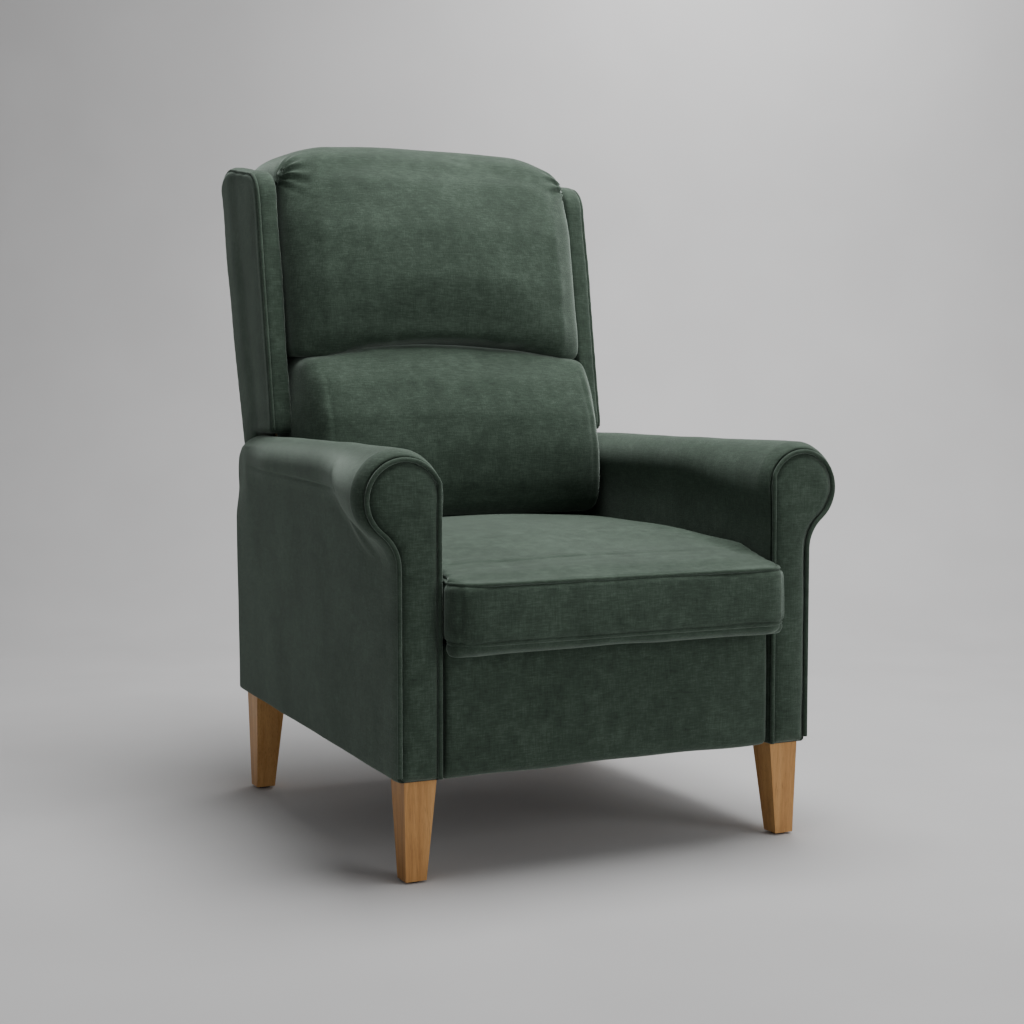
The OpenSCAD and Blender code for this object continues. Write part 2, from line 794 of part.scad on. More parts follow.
wing_frame(1);  // wing_frame_right
wing_cover(-1);  // wing_cover_left
wing_cover(1);  // wing_cover_right
outside_back_panel();
ottoman_front_links();
ottoman_front_pins();
ottoman_rear_links();
ottoman_rear_pins();
ottoman_carriers();
carrier_pins();
footrest_control_rods();
footrest_brackets();
footrest_rod_pins();
footrest_board();
footrest_pad();
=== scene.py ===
import json
import math

import bmesh
import bpy
import numpy as np
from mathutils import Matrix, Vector
from mathutils.bvhtree import BVHTree

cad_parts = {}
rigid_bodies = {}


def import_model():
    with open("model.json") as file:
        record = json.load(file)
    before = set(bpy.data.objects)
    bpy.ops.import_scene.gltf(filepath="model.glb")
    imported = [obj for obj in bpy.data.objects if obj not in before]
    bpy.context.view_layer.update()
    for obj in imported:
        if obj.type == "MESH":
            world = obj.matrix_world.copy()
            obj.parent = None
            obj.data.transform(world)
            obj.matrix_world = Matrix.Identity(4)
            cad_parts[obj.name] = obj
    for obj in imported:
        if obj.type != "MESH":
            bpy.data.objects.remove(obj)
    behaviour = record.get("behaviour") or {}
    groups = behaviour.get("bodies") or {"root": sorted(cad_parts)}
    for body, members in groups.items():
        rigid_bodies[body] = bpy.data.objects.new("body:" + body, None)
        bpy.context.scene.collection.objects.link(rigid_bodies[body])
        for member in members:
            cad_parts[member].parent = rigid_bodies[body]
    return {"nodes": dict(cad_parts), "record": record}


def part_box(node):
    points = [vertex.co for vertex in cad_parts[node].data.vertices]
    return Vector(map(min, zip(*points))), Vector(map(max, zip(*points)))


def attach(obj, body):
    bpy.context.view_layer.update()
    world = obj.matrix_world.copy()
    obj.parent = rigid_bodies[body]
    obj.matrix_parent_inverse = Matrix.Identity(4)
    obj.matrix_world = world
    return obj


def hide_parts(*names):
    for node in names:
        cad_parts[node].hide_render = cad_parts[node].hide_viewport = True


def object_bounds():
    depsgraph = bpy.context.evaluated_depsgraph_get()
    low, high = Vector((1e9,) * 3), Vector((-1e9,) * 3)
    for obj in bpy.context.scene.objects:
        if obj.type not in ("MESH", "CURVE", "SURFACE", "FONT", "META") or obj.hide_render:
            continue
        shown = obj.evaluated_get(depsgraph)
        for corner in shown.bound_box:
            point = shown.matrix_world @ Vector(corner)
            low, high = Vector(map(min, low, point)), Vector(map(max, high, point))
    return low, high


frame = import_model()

cad_low, cad_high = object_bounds()
NODES = frame["nodes"]
COLLECTION = bpy.context.scene.collection


def coords(obj):
    """The object's vertices as an array; every piece sits at the origin of the row frame."""
    co = np.zeros(len(obj.data.vertices) * 3, np.float32)
    obj.data.vertices.foreach_get("co", co)
    return co.reshape(-1, 3).astype(float)


def put(obj, co):
    """Writes the vertices back."""
    obj.data.vertices.foreach_set("co", np.asarray(co, np.float32).ravel())
    obj.data.update()


def normals(obj):
    obj.data.update()
    n = np.zeros(len(obj.data.vertices) * 3, np.float32)
    obj.data.vertex_normals.foreach_get("vector", n)
    return n.reshape(-1, 3).astype(float)


def smoothstep(a, b, x):
    """0 up to a, 1 from b on, smooth between them."""
    t = np.clip((np.asarray(x, float) - a) / (b - a), 0, 1)
    return t * t * (3 - 2 * t)


# --- materials

def make_material(name):
    mat = bpy.data.materials.new(name)
    mat.use_nodes = True
    tree = mat.node_tree
    tree.nodes.clear()
    out = tree.nodes.new("ShaderNodeOutputMaterial")
    shader = tree.nodes.new("ShaderNodeBsdfPrincipled")
    tree.links.new(shader.outputs[0], out.inputs["Surface"])
    where = tree.nodes.new("ShaderNodeTexCoord")
    return mat, tree, shader, where.outputs["Object"]


def noise_node(tree, where, scale, detail=3.0, stretch=(1, 1, 1), rough=0.55, distortion=0.0):
    """Noise of a place in the object, as a value."""
    mapping = tree.nodes.new("ShaderNodeMapping")
    mapping.inputs["Scale"].default_value = stretch
    tree.links.new(where, mapping.inputs["Vector"])
    node = tree.nodes.new("ShaderNodeTexNoise")
    node.inputs["Scale"].default_value = scale
    node.inputs["Detail"].default_value = detail
    node.inputs["Roughness"].default_value = rough
    node.inputs["Distortion"].default_value = distortion
    tree.links.new(mapping.outputs[0], node.inputs["Vector"])
    return node.outputs["Fac"]


def maths(tree, operation, a, b):
    """One sum of two values or sockets."""
    node = tree.nodes.new("ShaderNodeMath")
    node.operation = operation
    for socket, value in zip(node.inputs, (a, b)):
        if isinstance(value, (int, float)):
            socket.default_value = value
        else:
            tree.links.new(value, socket)
    return node.outputs[0]


def ramp(tree, fac, stops):
    node = tree.nodes.new("ShaderNodeValToRGB")
    elements = node.color_ramp.elements
    while len(elements) < len(stops):
        elements.new(0.5)
    for element, (position, color) in zip(elements, stops):
        element.position = position
        element.color = (*color, 1) if len(color) == 3 else color
    tree.links.new(fac, node.inputs[0])
    return node.outputs[0]


def bump(tree, shader, height, distance, strength):
    node = tree.nodes.new("ShaderNodeBump")
    node.inputs["Distance"].default_value = distance
    node.inputs["Strength"].default_value = strength
    tree.links.new(height, node.inputs["Height"])
    tree.links.new(node.outputs[0], shader.inputs["Normal"])


def average(tree, parts):
    """Weighted sum of (socket, weight) parts."""
    total = None
    for socket, weight in parts:
        part = maths(tree, "MULTIPLY", socket, weight)
        total = part if total is None else maths(tree, "ADD", total, part)
    return total


def roughen(tree, shader, fac, share, base):
    """Lets the roughness follow a value."""
    tree.links.new(maths(tree, "ADD", maths(tree, "MULTIPLY", fac, share), base), shader.inputs["Roughness"])


def chenille(name, dark, mid, light, thread=1.0):
    """Short-pile cloth: cloudy pile shading, thread slubs both ways, fine grain."""
    mat, tree, shader, where = make_material(name)
    clouds = noise_node(tree, where, 9, 4, rough=0.6)
    blotches = noise_node(tree, where, 46, 4, rough=0.62)
    slub_x = noise_node(tree, where, 1, 3, (70 * thread, 70 * thread, 520 * thread), 0.6)
    slub_z = noise_node(tree, where, 1, 3, (480 * thread, 480 * thread, 60 * thread), 0.6)
    slub_y = noise_node(tree, where, 1, 3, (70 * thread, 520 * thread, 300 * thread), 0.6)
    grain = noise_node(tree, where, 1500 * thread, 2)
    weave = average(tree, [(slub_x, 0.42), (slub_z, 0.34), (slub_y, 0.24)])
    tone = average(tree, [(clouds, 0.16), (blotches, 0.20), (weave, 0.50), (grain, 0.14)])
    color = ramp(tree, tone, [(0.40, dark), (0.5, mid), (0.60, light)])
    tree.links.new(color, shader.inputs["Base Color"])
    rough = average(tree, [(weave, 0.3), (blotches, 0.15)])
    tree.links.new(maths(tree, "ADD", rough, 0.66), shader.inputs["Roughness"])
    shader.inputs["Specular IOR Level"].default_value = 0.18
    shader.inputs["Sheen Weight"].default_value = 0.42
    shader.inputs["Sheen Roughness"].default_value = 0.42
    shader.inputs["Sheen Tint"].default_value = (0.80, 0.95, 0.84, 1)
    height = average(tree, [(weave, 0.7), (grain, 0.3)])
    bump(tree, shader, height, 0.0012, 0.55)
    return mat


def wood(name, dark, mid, light, rough=0.42, axis=2, open_grain=1.0):
    """Straight-grained timber; the grain runs along the axis."""
    mat, tree, shader, where = make_material(name)

    def along(scale_across, scale_along):
        s = [scale_across] * 3
        s[axis] = scale_along
        return tuple(s)

    growth = noise_node(tree, where, 1, 5, along(85, 3.2), 0.6, 0.35)
    fibre = noise_node(tree, where, 1, 4, along(900, 16), 0.65)
    pores = noise_node(tree, where, 1, 2, along(1500, 45), 0.5)
    broad = noise_node(tree, where, 1, 2, along(14, 2.0), 0.5)
    tone = average(tree, [(growth, 0.46), (fibre, 0.26), (broad, 0.28)])
    color = ramp(tree, tone, [(0.36, dark), (0.5, mid), (0.64, light)])
    pore = ramp(tree, pores, [(0.30, (0.42, 0.36, 0.3)), (0.42, (1, 1, 1))])
    mix = tree.nodes.new("ShaderNodeMix")
    mix.data_type, mix.blend_type = "RGBA", "MULTIPLY"
    mix.inputs["Factor"].default_value = 0.5 * open_grain
    tree.links.new(color, mix.inputs["A"])
    tree.links.new(pore, mix.inputs["B"])
    tree.links.new(mix.outputs["Result"], shader.inputs["Base Color"])
    roughen(tree, shader, fibre, 0.22, rough - 0.11)
    shader.inputs["Specular IOR Level"].default_value = 0.35
    bump(tree, shader, average(tree, [(fibre, 0.5), (pores, 0.5)]), 0.0004, 0.5 * open_grain)
    return mat


def metal(name, dark, light, metallic, rough):
    """Painted or bare metal with faint patches and brush marks."""
    mat, tree, shader, where = make_material(name)
    peel = noise_node(tree, where, 420, 2)
    patches = noise_node(tree, where, 28, 4, rough=0.65)
    brush = noise_node(tree, where, 1, 3, (40, 900, 900))
    tone = average(tree, [(patches, 0.5), (brush, 0.3), (peel, 0.2)])
    tree.links.new(ramp(tree, tone, [(0.38, dark), (0.62, light)]), shader.inputs["Base Color"])
    shader.inputs["Metallic"].default_value = metallic
    roughen(tree, shader, patches, 0.25, rough - 0.12)
    bump(tree, shader, average(tree, [(peel, 0.6), (brush, 0.4)]), 0.0003, 0.35)
    return mat


def web(name, dark, light, pitch):
    """Flat woven cloth or strap."""
    mat, tree, shader, where = make_material(name)
    threads = []
    for axis in range(2):
        wave = tree.nodes.new("ShaderNodeTexWave")
        wave.bands_direction = "XY"[axis]
        wave.inputs["Scale"].default_value = 0.314 / pitch
        wave.inputs["Distortion"].default_value = 1.2
        wave.inputs["Detail Scale"].default_value = 2
        tree.links.new(where, wave.inputs["Vector"])
        threads.append(wave.outputs["Fac"])
    weave = maths(tree, "MULTIPLY", threads[0], threads[1])
    clouds = noise_node(tree, where, 30, 4)
    grain = noise_node(tree, where, 900, 2)
    tone = average(tree, [(weave, 0.35), (clouds, 0.4), (grain, 0.25)])
    tree.links.new(ramp(tree, tone, [(0.3, dark), (0.62, light)]), shader.inputs["Base Color"])
    roughen(tree, shader, grain, 0.2, 0.72)
    bump(tree, shader, average(tree, [(weave, 0.7), (grain, 0.3)]), 0.0008, 0.6)
    return mat


DARK, MID, LIGHT = (0.024, 0.038, 0.027), (0.042, 0.064, 0.046), (0.072, 0.104, 0.078)
FABRIC = chenille("upholstery", DARK, MID, LIGHT)
PIPE_CLOTH = chenille("piping", DARK, MID, LIGHT, thread=1.6)
OAK = wood("oak", (0.34, 0.150, 0.042), (0.53, 0.268, 0.086), (0.66, 0.37, 0.14))
TIMBER = wood("timber", (0.42, 0.28, 0.15), (0.58, 0.43, 0.26), (0.70, 0.55, 0.36), 0.6, 2, 0.6)
TIMBER_X = wood("timber_cross", (0.42, 0.28, 0.15), (0.58, 0.43, 0.26), (0.70, 0.55, 0.36), 0.6, 0, 0.6)
STEEL = metal("steel", (0.030, 0.031, 0.033), (0.060, 0.062, 0.066), 0.0, 0.45)
ZINC = metal("fastener", (0.42, 0.42, 0.43), (0.62, 0.62, 0.64), 1.0, 0.34)
WEBBING = web("webbing", (0.018, 0.018, 0.020), (0.075, 0.075, 0.08), 0.0022)
PLATFORM = web("platform_cloth", (0.014, 0.015, 0.015), (0.045, 0.046, 0.046), 0.0011)
GLIDE = metal("glide", (0.016, 0.016, 0.016), (0.036, 0.036, 0.036), 0.0, 0.6)


# --- mesh tools

def new_object(name, verts, faces, material):
    mesh = bpy.data.meshes.new(name)
    mesh.from_pydata([tuple(v) for v in verts], [], [tuple(f) for f in faces])
    mesh.validate()
    obj = bpy.data.objects.new(name, mesh)
    COLLECTION.objects.link(obj)
    return finish_mesh(obj, material)


def finish_mesh(obj, material):
    """One smooth-shaded material, which is named after its slot."""
    obj.data.materials.clear()
    obj.data.materials.append(material)
    obj.data.polygons.foreach_set("use_smooth", np.ones(len(obj.data.polygons), bool))
    obj["slot_name"] = material.name.split(".")[0]
    return obj


def clean(obj, distance=1e-5):
    """Welds doubles, drops degenerate faces and turns the normals outwards."""
    bm = bmesh.new()
    bm.from_mesh(obj.data)
    bmesh.ops.remove_doubles(bm, verts=bm.verts, dist=distance)
    bmesh.ops.dissolve_degenerate(bm, edges=bm.edges, dist=distance)
    bmesh.ops.recalc_face_normals(bm, faces=bm.faces)
    bm.to_mesh(obj.data)
    bm.free()
    return obj


def rings(name, loops, material):
    """Joins closed loops of equal length and closes both ends with a face."""
    m = len(loops[0])
    verts = np.concatenate(loops)
    faces = []
    for j in range(len(loops) - 1):
        a, b = j * m, (j + 1) * m
        faces += [(a + i, a + (i + 1) % m, b + (i + 1) % m, b + i) for i in range(m)]
    faces += [tuple(range(m))[::-1], tuple(range((len(loops) - 1) * m, len(loops) * m))]
    return clean(new_object(name, verts, faces, material))


def sweep(points, radius, sides=10, closed=False):
    """Tube along a line, as (verts, faces)."""
    p = np.asarray(points, float)
    n = len(p)
    if closed:
        tangent = np.roll(p, -1, 0) - np.roll(p, 1, 0)
    else:
        tangent = np.gradient(p, axis=0)
    tangent /= np.linalg.norm(tangent, axis=1)[:, None]
    up = np.array([0.0, 0.0, 1.0]) if abs(tangent[0][2]) < 0.9 else np.array([1.0, 0, 0])
    u = np.cross(tangent[0], up)
    u /= np.linalg.norm(u)
    verts = []
    for i in range(n):
        u = u - tangent[i] * (u @ tangent[i])
        u /= np.linalg.norm(u)
        v = np.cross(tangent[i], u)
        for k in range(sides):
            a = 2 * math.pi * k / sides
            verts.append(p[i] + radius * (math.cos(a) * u + math.sin(a) * v))
    faces = []
    for i in range(n if closed else n - 1):
        a, b = i * sides, ((i + 1) % n) * sides
        faces += [(a + k, a + (k + 1) % sides, b + (k + 1) % sides, b + k) for k in range(sides)]
    if not closed:
        faces += [tuple(range(sides))[::-1], tuple(range((n - 1) * sides, n * sides))]
    return np.array(verts), faces


def resample(points, step, closed=False):
    """The same line with its points at an even step."""
    p = np.asarray(points, float)
    if closed:
        p = np.vstack([p, p[:1]])
    d = np.concatenate([[0], np.cumsum(np.linalg.norm(np.diff(p, axis=0), axis=1))])
    count = max(3, int(round(d[-1] / step)) + 1)
    t = np.linspace(0, d[-1], count)[: -1 if closed else None]
    return np.stack([np.interp(t, d, p[:, k]) for k in range(p.shape[1])], 1)


def relax(points, times, closed=False):
    """Smooths a line; the ends of an open one stay."""
    p = np.array(points, float)
    if closed:
        p = np.vstack([p[-times:], p, p[:times]])
    for _ in range(times):
        p[1:-1] = (p[:-2] + 2 * p[1:-1] + p[2:]) / 4
    return p[times:-times] if closed else p


def applied(obj):
    """Puts the result of the object's modifiers in place of its mesh."""
    graph = bpy.context.evaluated_depsgraph_get()
    mesh = bpy.data.meshes.new_from_object(obj.evaluated_get(graph))
    obj.modifiers.clear()
    old, obj.data = obj.data, mesh
    mesh.name = obj.name
    bpy.data.meshes.remove(old)
    return obj


def remeshed(obj, voxel, smooth):
    """Voxel remesh and a few smoothing passes, applied."""
    mod = obj.modifiers.new("voxels", "REMESH")
    mod.mode, mod.voxel_size, mod.adaptivity = "VOXEL", voxel, 0
    mod.use_smooth_shade = True
    lap = obj.modifiers.new("soften", "SMOOTH")
    lap.factor, lap.iterations = 0.5, smooth
    return applied(obj)


def subdivided(obj):
    """One round of subdivision, applied."""
    mod = obj.modifiers.new("fine", "SUBSURF")
    mod.levels = mod.render_levels = 1
    return applied(obj)


def copy_of(node, name, material):
    """A new object with a copy of a CAD node's mesh."""
    obj = bpy.data.objects.new(name, NODES[node].data.copy())
    COLLECTION.objects.link(obj)
    return finish_mesh(obj, material)


def distance_to(points, line):
    """Distance of each point to a polyline, and how far along it the nearest place is (0 to 1)."""
    p = np.asarray(points, float)
    line = np.asarray(line, float)
    best = np.full(len(p), 1e9)
    along = np.zeros(len(p))
    seg = np.linalg.norm(np.diff(line, axis=0), axis=1)
    start = np.concatenate([[0], np.cumsum(seg)])
    for i in range(len(line) - 1):
        a, d = line[i], line[i + 1] - line[i]
        t = np.clip(((p - a) @ d) / max(d @ d, 1e-12), 0, 1)
        dist = np.linalg.norm(p - (a + t[:, None] * d), axis=1)
        near = dist < best
        best[near] = dist[near]
        along[near] = (start[i] + t[near] * seg[i]) / start[-1]
    return best, along


def groove(obj, line, depth, width, taper=0.0):
    """Presses a seam into the surface along a line."""
    co, n = coords(obj), normals(obj)
    d, t = distance_to(co, line)
    amount = depth * np.exp(-(d / width) ** 2)
    if taper:
        amount *= np.clip(np.minimum(t, 1 - t) / taper, 0, 1)
    put(obj, co - n * amount[:, None])


def undulate(obj, height, size, seed, where=None):
    """Low, seeded unevenness of stuffed cloth: a few random plane waves."""
    rng = np.random.default_rng(seed)
    co, n = coords(obj), normals(obj)
    total = np.zeros(len(co))
    for _ in range(14):
        k = rng.normal(size=3)
        k *= 2 * math.pi / (size * rng.uniform(0.7, 1.6)) / np.linalg.norm(k)
        total += np.sin(co @ k + rng.uniform(0, 6.28))
    total *= height / math.sqrt(7)
    if where is not None:
        total *= where(co)
    put(obj, co + n * total[:, None])


def pleats(obj, centre, direction, reach, count, spread, depth, inner):
    """Gathers fanning out from a corner: ridges in angle round the centre, fading with distance."""
    co, n = coords(obj), normals(obj)
    centre, direction = np.array(centre, float), np.array(direction, float)
    direction /= np.linalg.norm(direction)
    rel = co - centre
    dist = np.linalg.norm(rel, axis=1)
    near = dist < reach * 1.2
    if not near.any():
        return
    mean = n[near].mean(0)
    mean /= np.linalg.norm(mean)
    side = np.cross(mean, direction)
    side /= np.linalg.norm(side)
    angle = np.arctan2(rel @ side, rel @ direction)
    fade = np.exp(-(angle / spread) ** 4) * smoothstep(inner, inner + 0.012, dist)
    fade *= 1 - smoothstep(reach * 0.35, reach, dist)
    wave = np.cos(angle / spread * math.pi * count)
    wave = np.sign(wave) * np.abs(wave) ** 0.7
    put(obj, co + n * (depth * wave * fade)[:, None])


# --- cloth simulation

SIMULATED = []
PUFF_FRAMES = 20            # length of the simulation


def evened(obj, field, times, held):
    """Averages a value of the vertices over the mesh's edges; held vertices keep none."""
    ends = np.zeros(len(obj.data.edges) * 2, np.int32)
    obj.data.edges.foreach_get("vertices", ends)
    ends = ends.reshape(-1, 2)
    degree = np.maximum(np.bincount(ends.ravel(), minlength=len(field)), 1)[:, None]
    for _ in range(times):
        total = np.zeros_like(field)
        np.add.at(total, ends[:, 0], field[ends[:, 1]])
        np.add.at(total, ends[:, 1], field[ends[:, 0]])
        field = 0.4 * field + 0.6 * total / degree
        field[held] = 0
    return field


def plan_puff(obj, held, cap, pressure=4.0, even=30):
    """Adds a cloth swelling to the one run below; held(co) says which points stay."""
    mask = held(coords(obj))
    group = obj.vertex_groups.new(name="held")
    group.add([int(i) for i in np.nonzero(mask)[0]], 1.0, "REPLACE")
    cloth = obj.modifiers.new("puff", "CLOTH")
    s = cloth.settings
    s.quality, s.mass = 5, 0.3
    s.tension_stiffness = s.compression_stiffness = 15
    s.shear_stiffness, s.bending_stiffness = 5, 0.5
    s.use_pressure, s.uniform_pressure_force = True, pressure
    s.effector_weights.gravity = 0
    s.vertex_group_mass, s.pin_stiffness = "held", 1
    cloth.collision_settings.use_collision = False
    cloth.point_cache.frame_start, cloth.point_cache.frame_end = 1, PUFF_FRAMES
    SIMULATED.append((obj, cap, even, mask))


def run_puffs():
    """Runs the planned swellings together and takes up each one's movement, evened and scaled to its cap."""
    for number in range(1, PUFF_FRAMES + 1):
        bpy.context.scene.frame_set(number)
    graph = bpy.context.evaluated_depsgraph_get()
    for obj, cap, even, mask in SIMULATED:
        new = np.zeros(len(obj.data.vertices) * 3, np.float32)
        obj.evaluated_get(graph).data.vertices.foreach_get("co", new)
        move = new.reshape(-1, 3).astype(float) - coords(obj)
        move = evened(obj, move, even, mask)
        most = np.percentile(np.linalg.norm(move, axis=1), 99)
        put(obj, coords(obj) + move * min(1.0, cap / max(most, 1e-9)))
    for obj, *_ in SIMULATED:
        obj.modifiers.clear()
        obj.vertex_groups.clear()
    bpy.context.scene.frame_set(1)


def fill_height(obj, low, high):
    """Stretches a swollen form so that it fills its height exactly."""
    co = coords(obj)
    a, b = co[:, 2].min(), co[:, 2].max()
    co[:, 2] = low.z + (co[:, 2] - a) * (high.z - low.z) / (b - a)
    put(obj, co)


# --- measures from the CAD

COVER = coords(NODES["arm_cover_right"])
COVER_LOW, COVER_HIGH = COVER.min(0), COVER.max(0)
STEM = COVER[COVER[:, 2] < 0.26]
ARM_IN, ARM_OUT = STEM[:, 0].min(), STEM[:, 0].max()
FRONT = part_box("arm_facing_right")[0].y          # front plane of the arms
COVER_Y, REAR = COVER_LOW[1], COVER_HIGH[1]
ARM_H = COVER_HIGH[2]
ROLL_IN = COVER_LOW[0]
ROLL_R = (COVER_HIGH[0] - ROLL_IN) / 2
SLIM_R = (ARM_OUT + 0.009 - ROLL_IN) / 2
SKIRT_FRONT = COVER[COVER[:, 1] < COVER_Y + 0.002][:, 2].min()
SKIRT_REAR = COVER[COVER[:, 1] > REAR - 0.002][:, 2].min()
FACING_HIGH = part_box("arm_piping_right")[1]
PIPE_R = FACING_HIGH.x - (ROLL_IN + ROLL_R) - 0.003   # radius of the facing's piping line
FLARE = 0.215               # depth over which the roll slims down behind the facing
RAIL_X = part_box("seat_rail_right")[1].x
ARM_PIPE, SEAT_PIPE, WING_PIPE = 0.0034, 0.0029, 0.0027          # radii of the pipings


def skirt(y):
    """Height of the arm's lower edge at a row y."""
    return SKIRT_FRONT + (SKIRT_REAR - SKIRT_FRONT) * (y - COVER_Y) / (REAR - COVER_Y)


def arc_points(centre, r, a0, a1, n):
    a = np.linspace(a0, a1, n)
    return np.stack([centre[0] + r * np.cos(a), centre[1] + r * np.sin(a)], 1)


def arm_outline(cx, cz, r, x_in, x_out, low):
    """Closed keyhole outline in (x, z): up the inner side, over the roll, down the outer side."""
    f_in, f_out, corner = 0.20, 0.06, 0.005         # fillets under the roll, and the lower corners

    def fillet(x_wall, f, side):
        centre_x = x_wall + side * f
        gap = (r + f) ** 2 - (centre_x - cx) ** 2
        return np.array([centre_x, cz - math.sqrt(max(gap, 1e-9))])
    a, b = fillet(x_in, f_in, -1), fillet(x_out, f_out, 1)
    ta = math.atan2(a[1] - cz, a[0] - cx)
    tb = math.atan2(b[1] - cz, b[0] - cx)
    parts = [
        np.stack([np.full(34, x_in), np.linspace(low + corner, a[1], 34)], 1)[:-1],
        arc_points(a, f_in, 0, ta + math.pi, 10)[:-1],
        arc_points((cx, cz), r, ta + 2 * math.pi, tb, 74)[:-1],
        arc_points(b, f_out, tb + math.pi, math.pi, 18)[:-1],
        np.stack([np.full(46, x_out), np.linspace(b[1], low + corner, 46)], 1)[:-1],
        arc_points((x_out - corner, low + corner), corner, 0, -math.pi / 2, 4)[:-1],
        np.stack([np.linspace(x_out - corner, x_in + corner, 9), np.full(9, low)], 1)[:-1],
        arc_points((x_in + corner, low + corner), corner, -math.pi / 2, -math.pi, 4)[:-1],
    ]
    return np.concatenate(parts)


def at_y(outline, y):
    return np.stack([outline[:, 0], np.full(len(outline), y) if np.isscalar(y) else y,
                     outline[:, 1]], 1)


def roll_at(y):
    """(centre x, centre z, radius) of the roll at a row y."""
    t = smoothstep(COVER_Y, COVER_Y + FLARE * 1.3, y)
    r = ROLL_R + 0.0015 - (ROLL_R + 0.0015 - SLIM_R) * t
    return ROLL_IN + r, ARM_H - r, r


def facing_outline(grow=0.0):
    """Outline of the right facing where its piping runs, grown or drawn in."""
    cx, cz = ROLL_IN + ROLL_R - 0.001, ARM_H - ROLL_R - 0.005
    return arm_outline(cx, cz, PIPE_R + 0.0005 + grow, ARM_IN + 0.0015 - grow, ARM_OUT - 0.002 + grow,
                       SKIRT_FRONT + 0.001)


def arm_cover():
    """The right arm's cover as one closed mesh; the left one is its mirror image."""
    line = facing_outline()
    loops = []
    full = arm_outline(*roll_at(COVER_Y), ARM_IN, ARM_OUT, SKIRT_FRONT)
    loops.append(at_y(line, COVER_Y - 0.002))
    # rounded rim between the piping and the roll
    for k in range(9):
        a = math.pi / 2 * k / 8
        share = 1 - math.cos(a)
        out = line * (1 - share) + full * share
        loops.append(at_y(out, FRONT + 0.0045 + 0.016 * (1 - math.sin(a)) ** 2
                          + 0.024 * share ** 2.2 + 0.004 * math.exp(-k)))
    y0 = loops[-1][0][1]
    stations = np.concatenate([np.linspace(y0 + 0.004, y0 + 0.24, 50),
                               np.linspace(y0 + 0.245, REAR - 0.062, 58),
                               REAR - 0.058 * (1 - np.sin(np.linspace(0.05, 1, 18) * math.pi / 2))])
    end_r = 0.055
    for y in stations:
        cx, cz, r = roll_at(y)
        out = arm_outline(cx, cz, r, ARM_IN, ARM_OUT, skirt(y))
        drop = max(0.0, y - (REAR - end_r))
        top = ARM_H - end_r + math.sqrt(max(end_r ** 2 - drop ** 2, 0))
        knee = 0.46
        high = out[:, 1] > knee
        share = smoothstep(knee, knee + 0.07, out[:, 1])
        out[high, 1] = knee + (out[high, 1] - knee) * (top - knee) / (ARM_H - knee)
        side = 0.011
        edge = max(0.0, y - (REAR - side))
        inset = side - math.sqrt(max(side ** 2 - edge ** 2, 0))
        swell = 0.006 * smoothstep(REAR - 0.075, REAR, y) * share
        mid = (ARM_IN + ARM_OUT) / 2
        over = np.maximum(out[:, 0] - ARM_OUT, 0)
        out[:, 0] -= over * 0.9 * smoothstep(REAR - 0.20, REAR - 0.03, y)
        out[:, 0] = np.where(out[:, 0] > mid, np.maximum(out[:, 0] - inset - swell, mid),
                             np.minimum(out[:, 0] + inset * 0.6, mid))
        full_out = 0.003 * smoothstep(FRONT + 0.35, REAR - 0.05, y) * (out[:, 0] > mid)
        out[:, 0] += full_out * smoothstep(skirt(y) + 0.03, skirt(y) + 0.3, out[:, 1])
        loops.append(at_y(out, y + 0.001 * smoothstep(REAR - 0.2, REAR, y)))
    last = loops[-1][:, [0, 2]]
    for s in (0.12, 0.3):
        mid = np.stack([np.full(len(last), (ARM_IN + ARM_OUT) / 2),
                        np.clip(last[:, 1], last[:, 1].min() + 0.01, last[:, 1].max() - 0.01)], 1)
        loops.append(at_y(last * (1 - s) + mid * s, REAR + 0.0015))
    return rings("arm_cover_soft_right", loops, FABRIC)


def side_line(points):
    """A line on the arm's outer side, given as (row y, z) points, as 3-D points on the surface."""
    out = []
    for y, z in points:
        cx, cz, r = roll_at(y)
        wall = ARM_OUT
        if z > cz - r:
            wall = max(wall, cx + math.sqrt(max(r * r - (z - cz) ** 2, 0)))
        out.append((wall, y, z))
    return np.array(out)


RIDGE = [(0.060, -0.092), (0.085, -0.084), (0.112, -0.074), (0.135, -0.062), (0.155, -0.048),
         (0.170, -0.034), (0.180, -0.020), (0.186, -0.008)]    # depth behind the front, below the seam
SEAM_FRONT, SEAM_REAR = (0.200, 0.534), (0.655, 0.552)

arm = arm_cover()
ridge = side_line([(FRONT + y, SEAM_FRONT[1] + z) for y, z in RIDGE])
ridge[:, 0] = ARM_OUT + 0.004
seam = side_line([(FRONT + SEAM_FRONT[0] + (SEAM_REAR[0] - SEAM_FRONT[0]) * t,
                   SEAM_FRONT[1] + (SEAM_REAR[1] - SEAM_FRONT[1]) * t) for t in np.linspace(0, 1, 12)])
co = coords(arm)
outer = co[:, 0] > (ARM_IN + ARM_OUT) / 2 + 0.01
d, t = distance_to(co, ridge)
n = normals(arm)
fade = np.minimum(smoothstep(0, 0.3, t), 1) * outer
co += n * (0.0022 * np.exp(-(d / 0.008) ** 2) * fade)[:, None]
valley = ridge + np.array([0, -0.010, 0.012])
d, t = distance_to(co, valley)
co -= n * (0.0016 * np.exp(-(d / 0.010) ** 2) * smoothstep(0, 0.4, t) * outer)[:, None]
put(arm, co)
groove(arm, seam, 0.0017, 0.0028)
co, n = coords(arm), normals(arm)
below = (seam + np.array([0, 0, -0.009]))
d, t = distance_to(co, below)
put(arm, co + n * (0.0007 * np.exp(-(d / 0.008) ** 2) * (co[:, 0] > ARM_OUT - 0.02))[:, None])
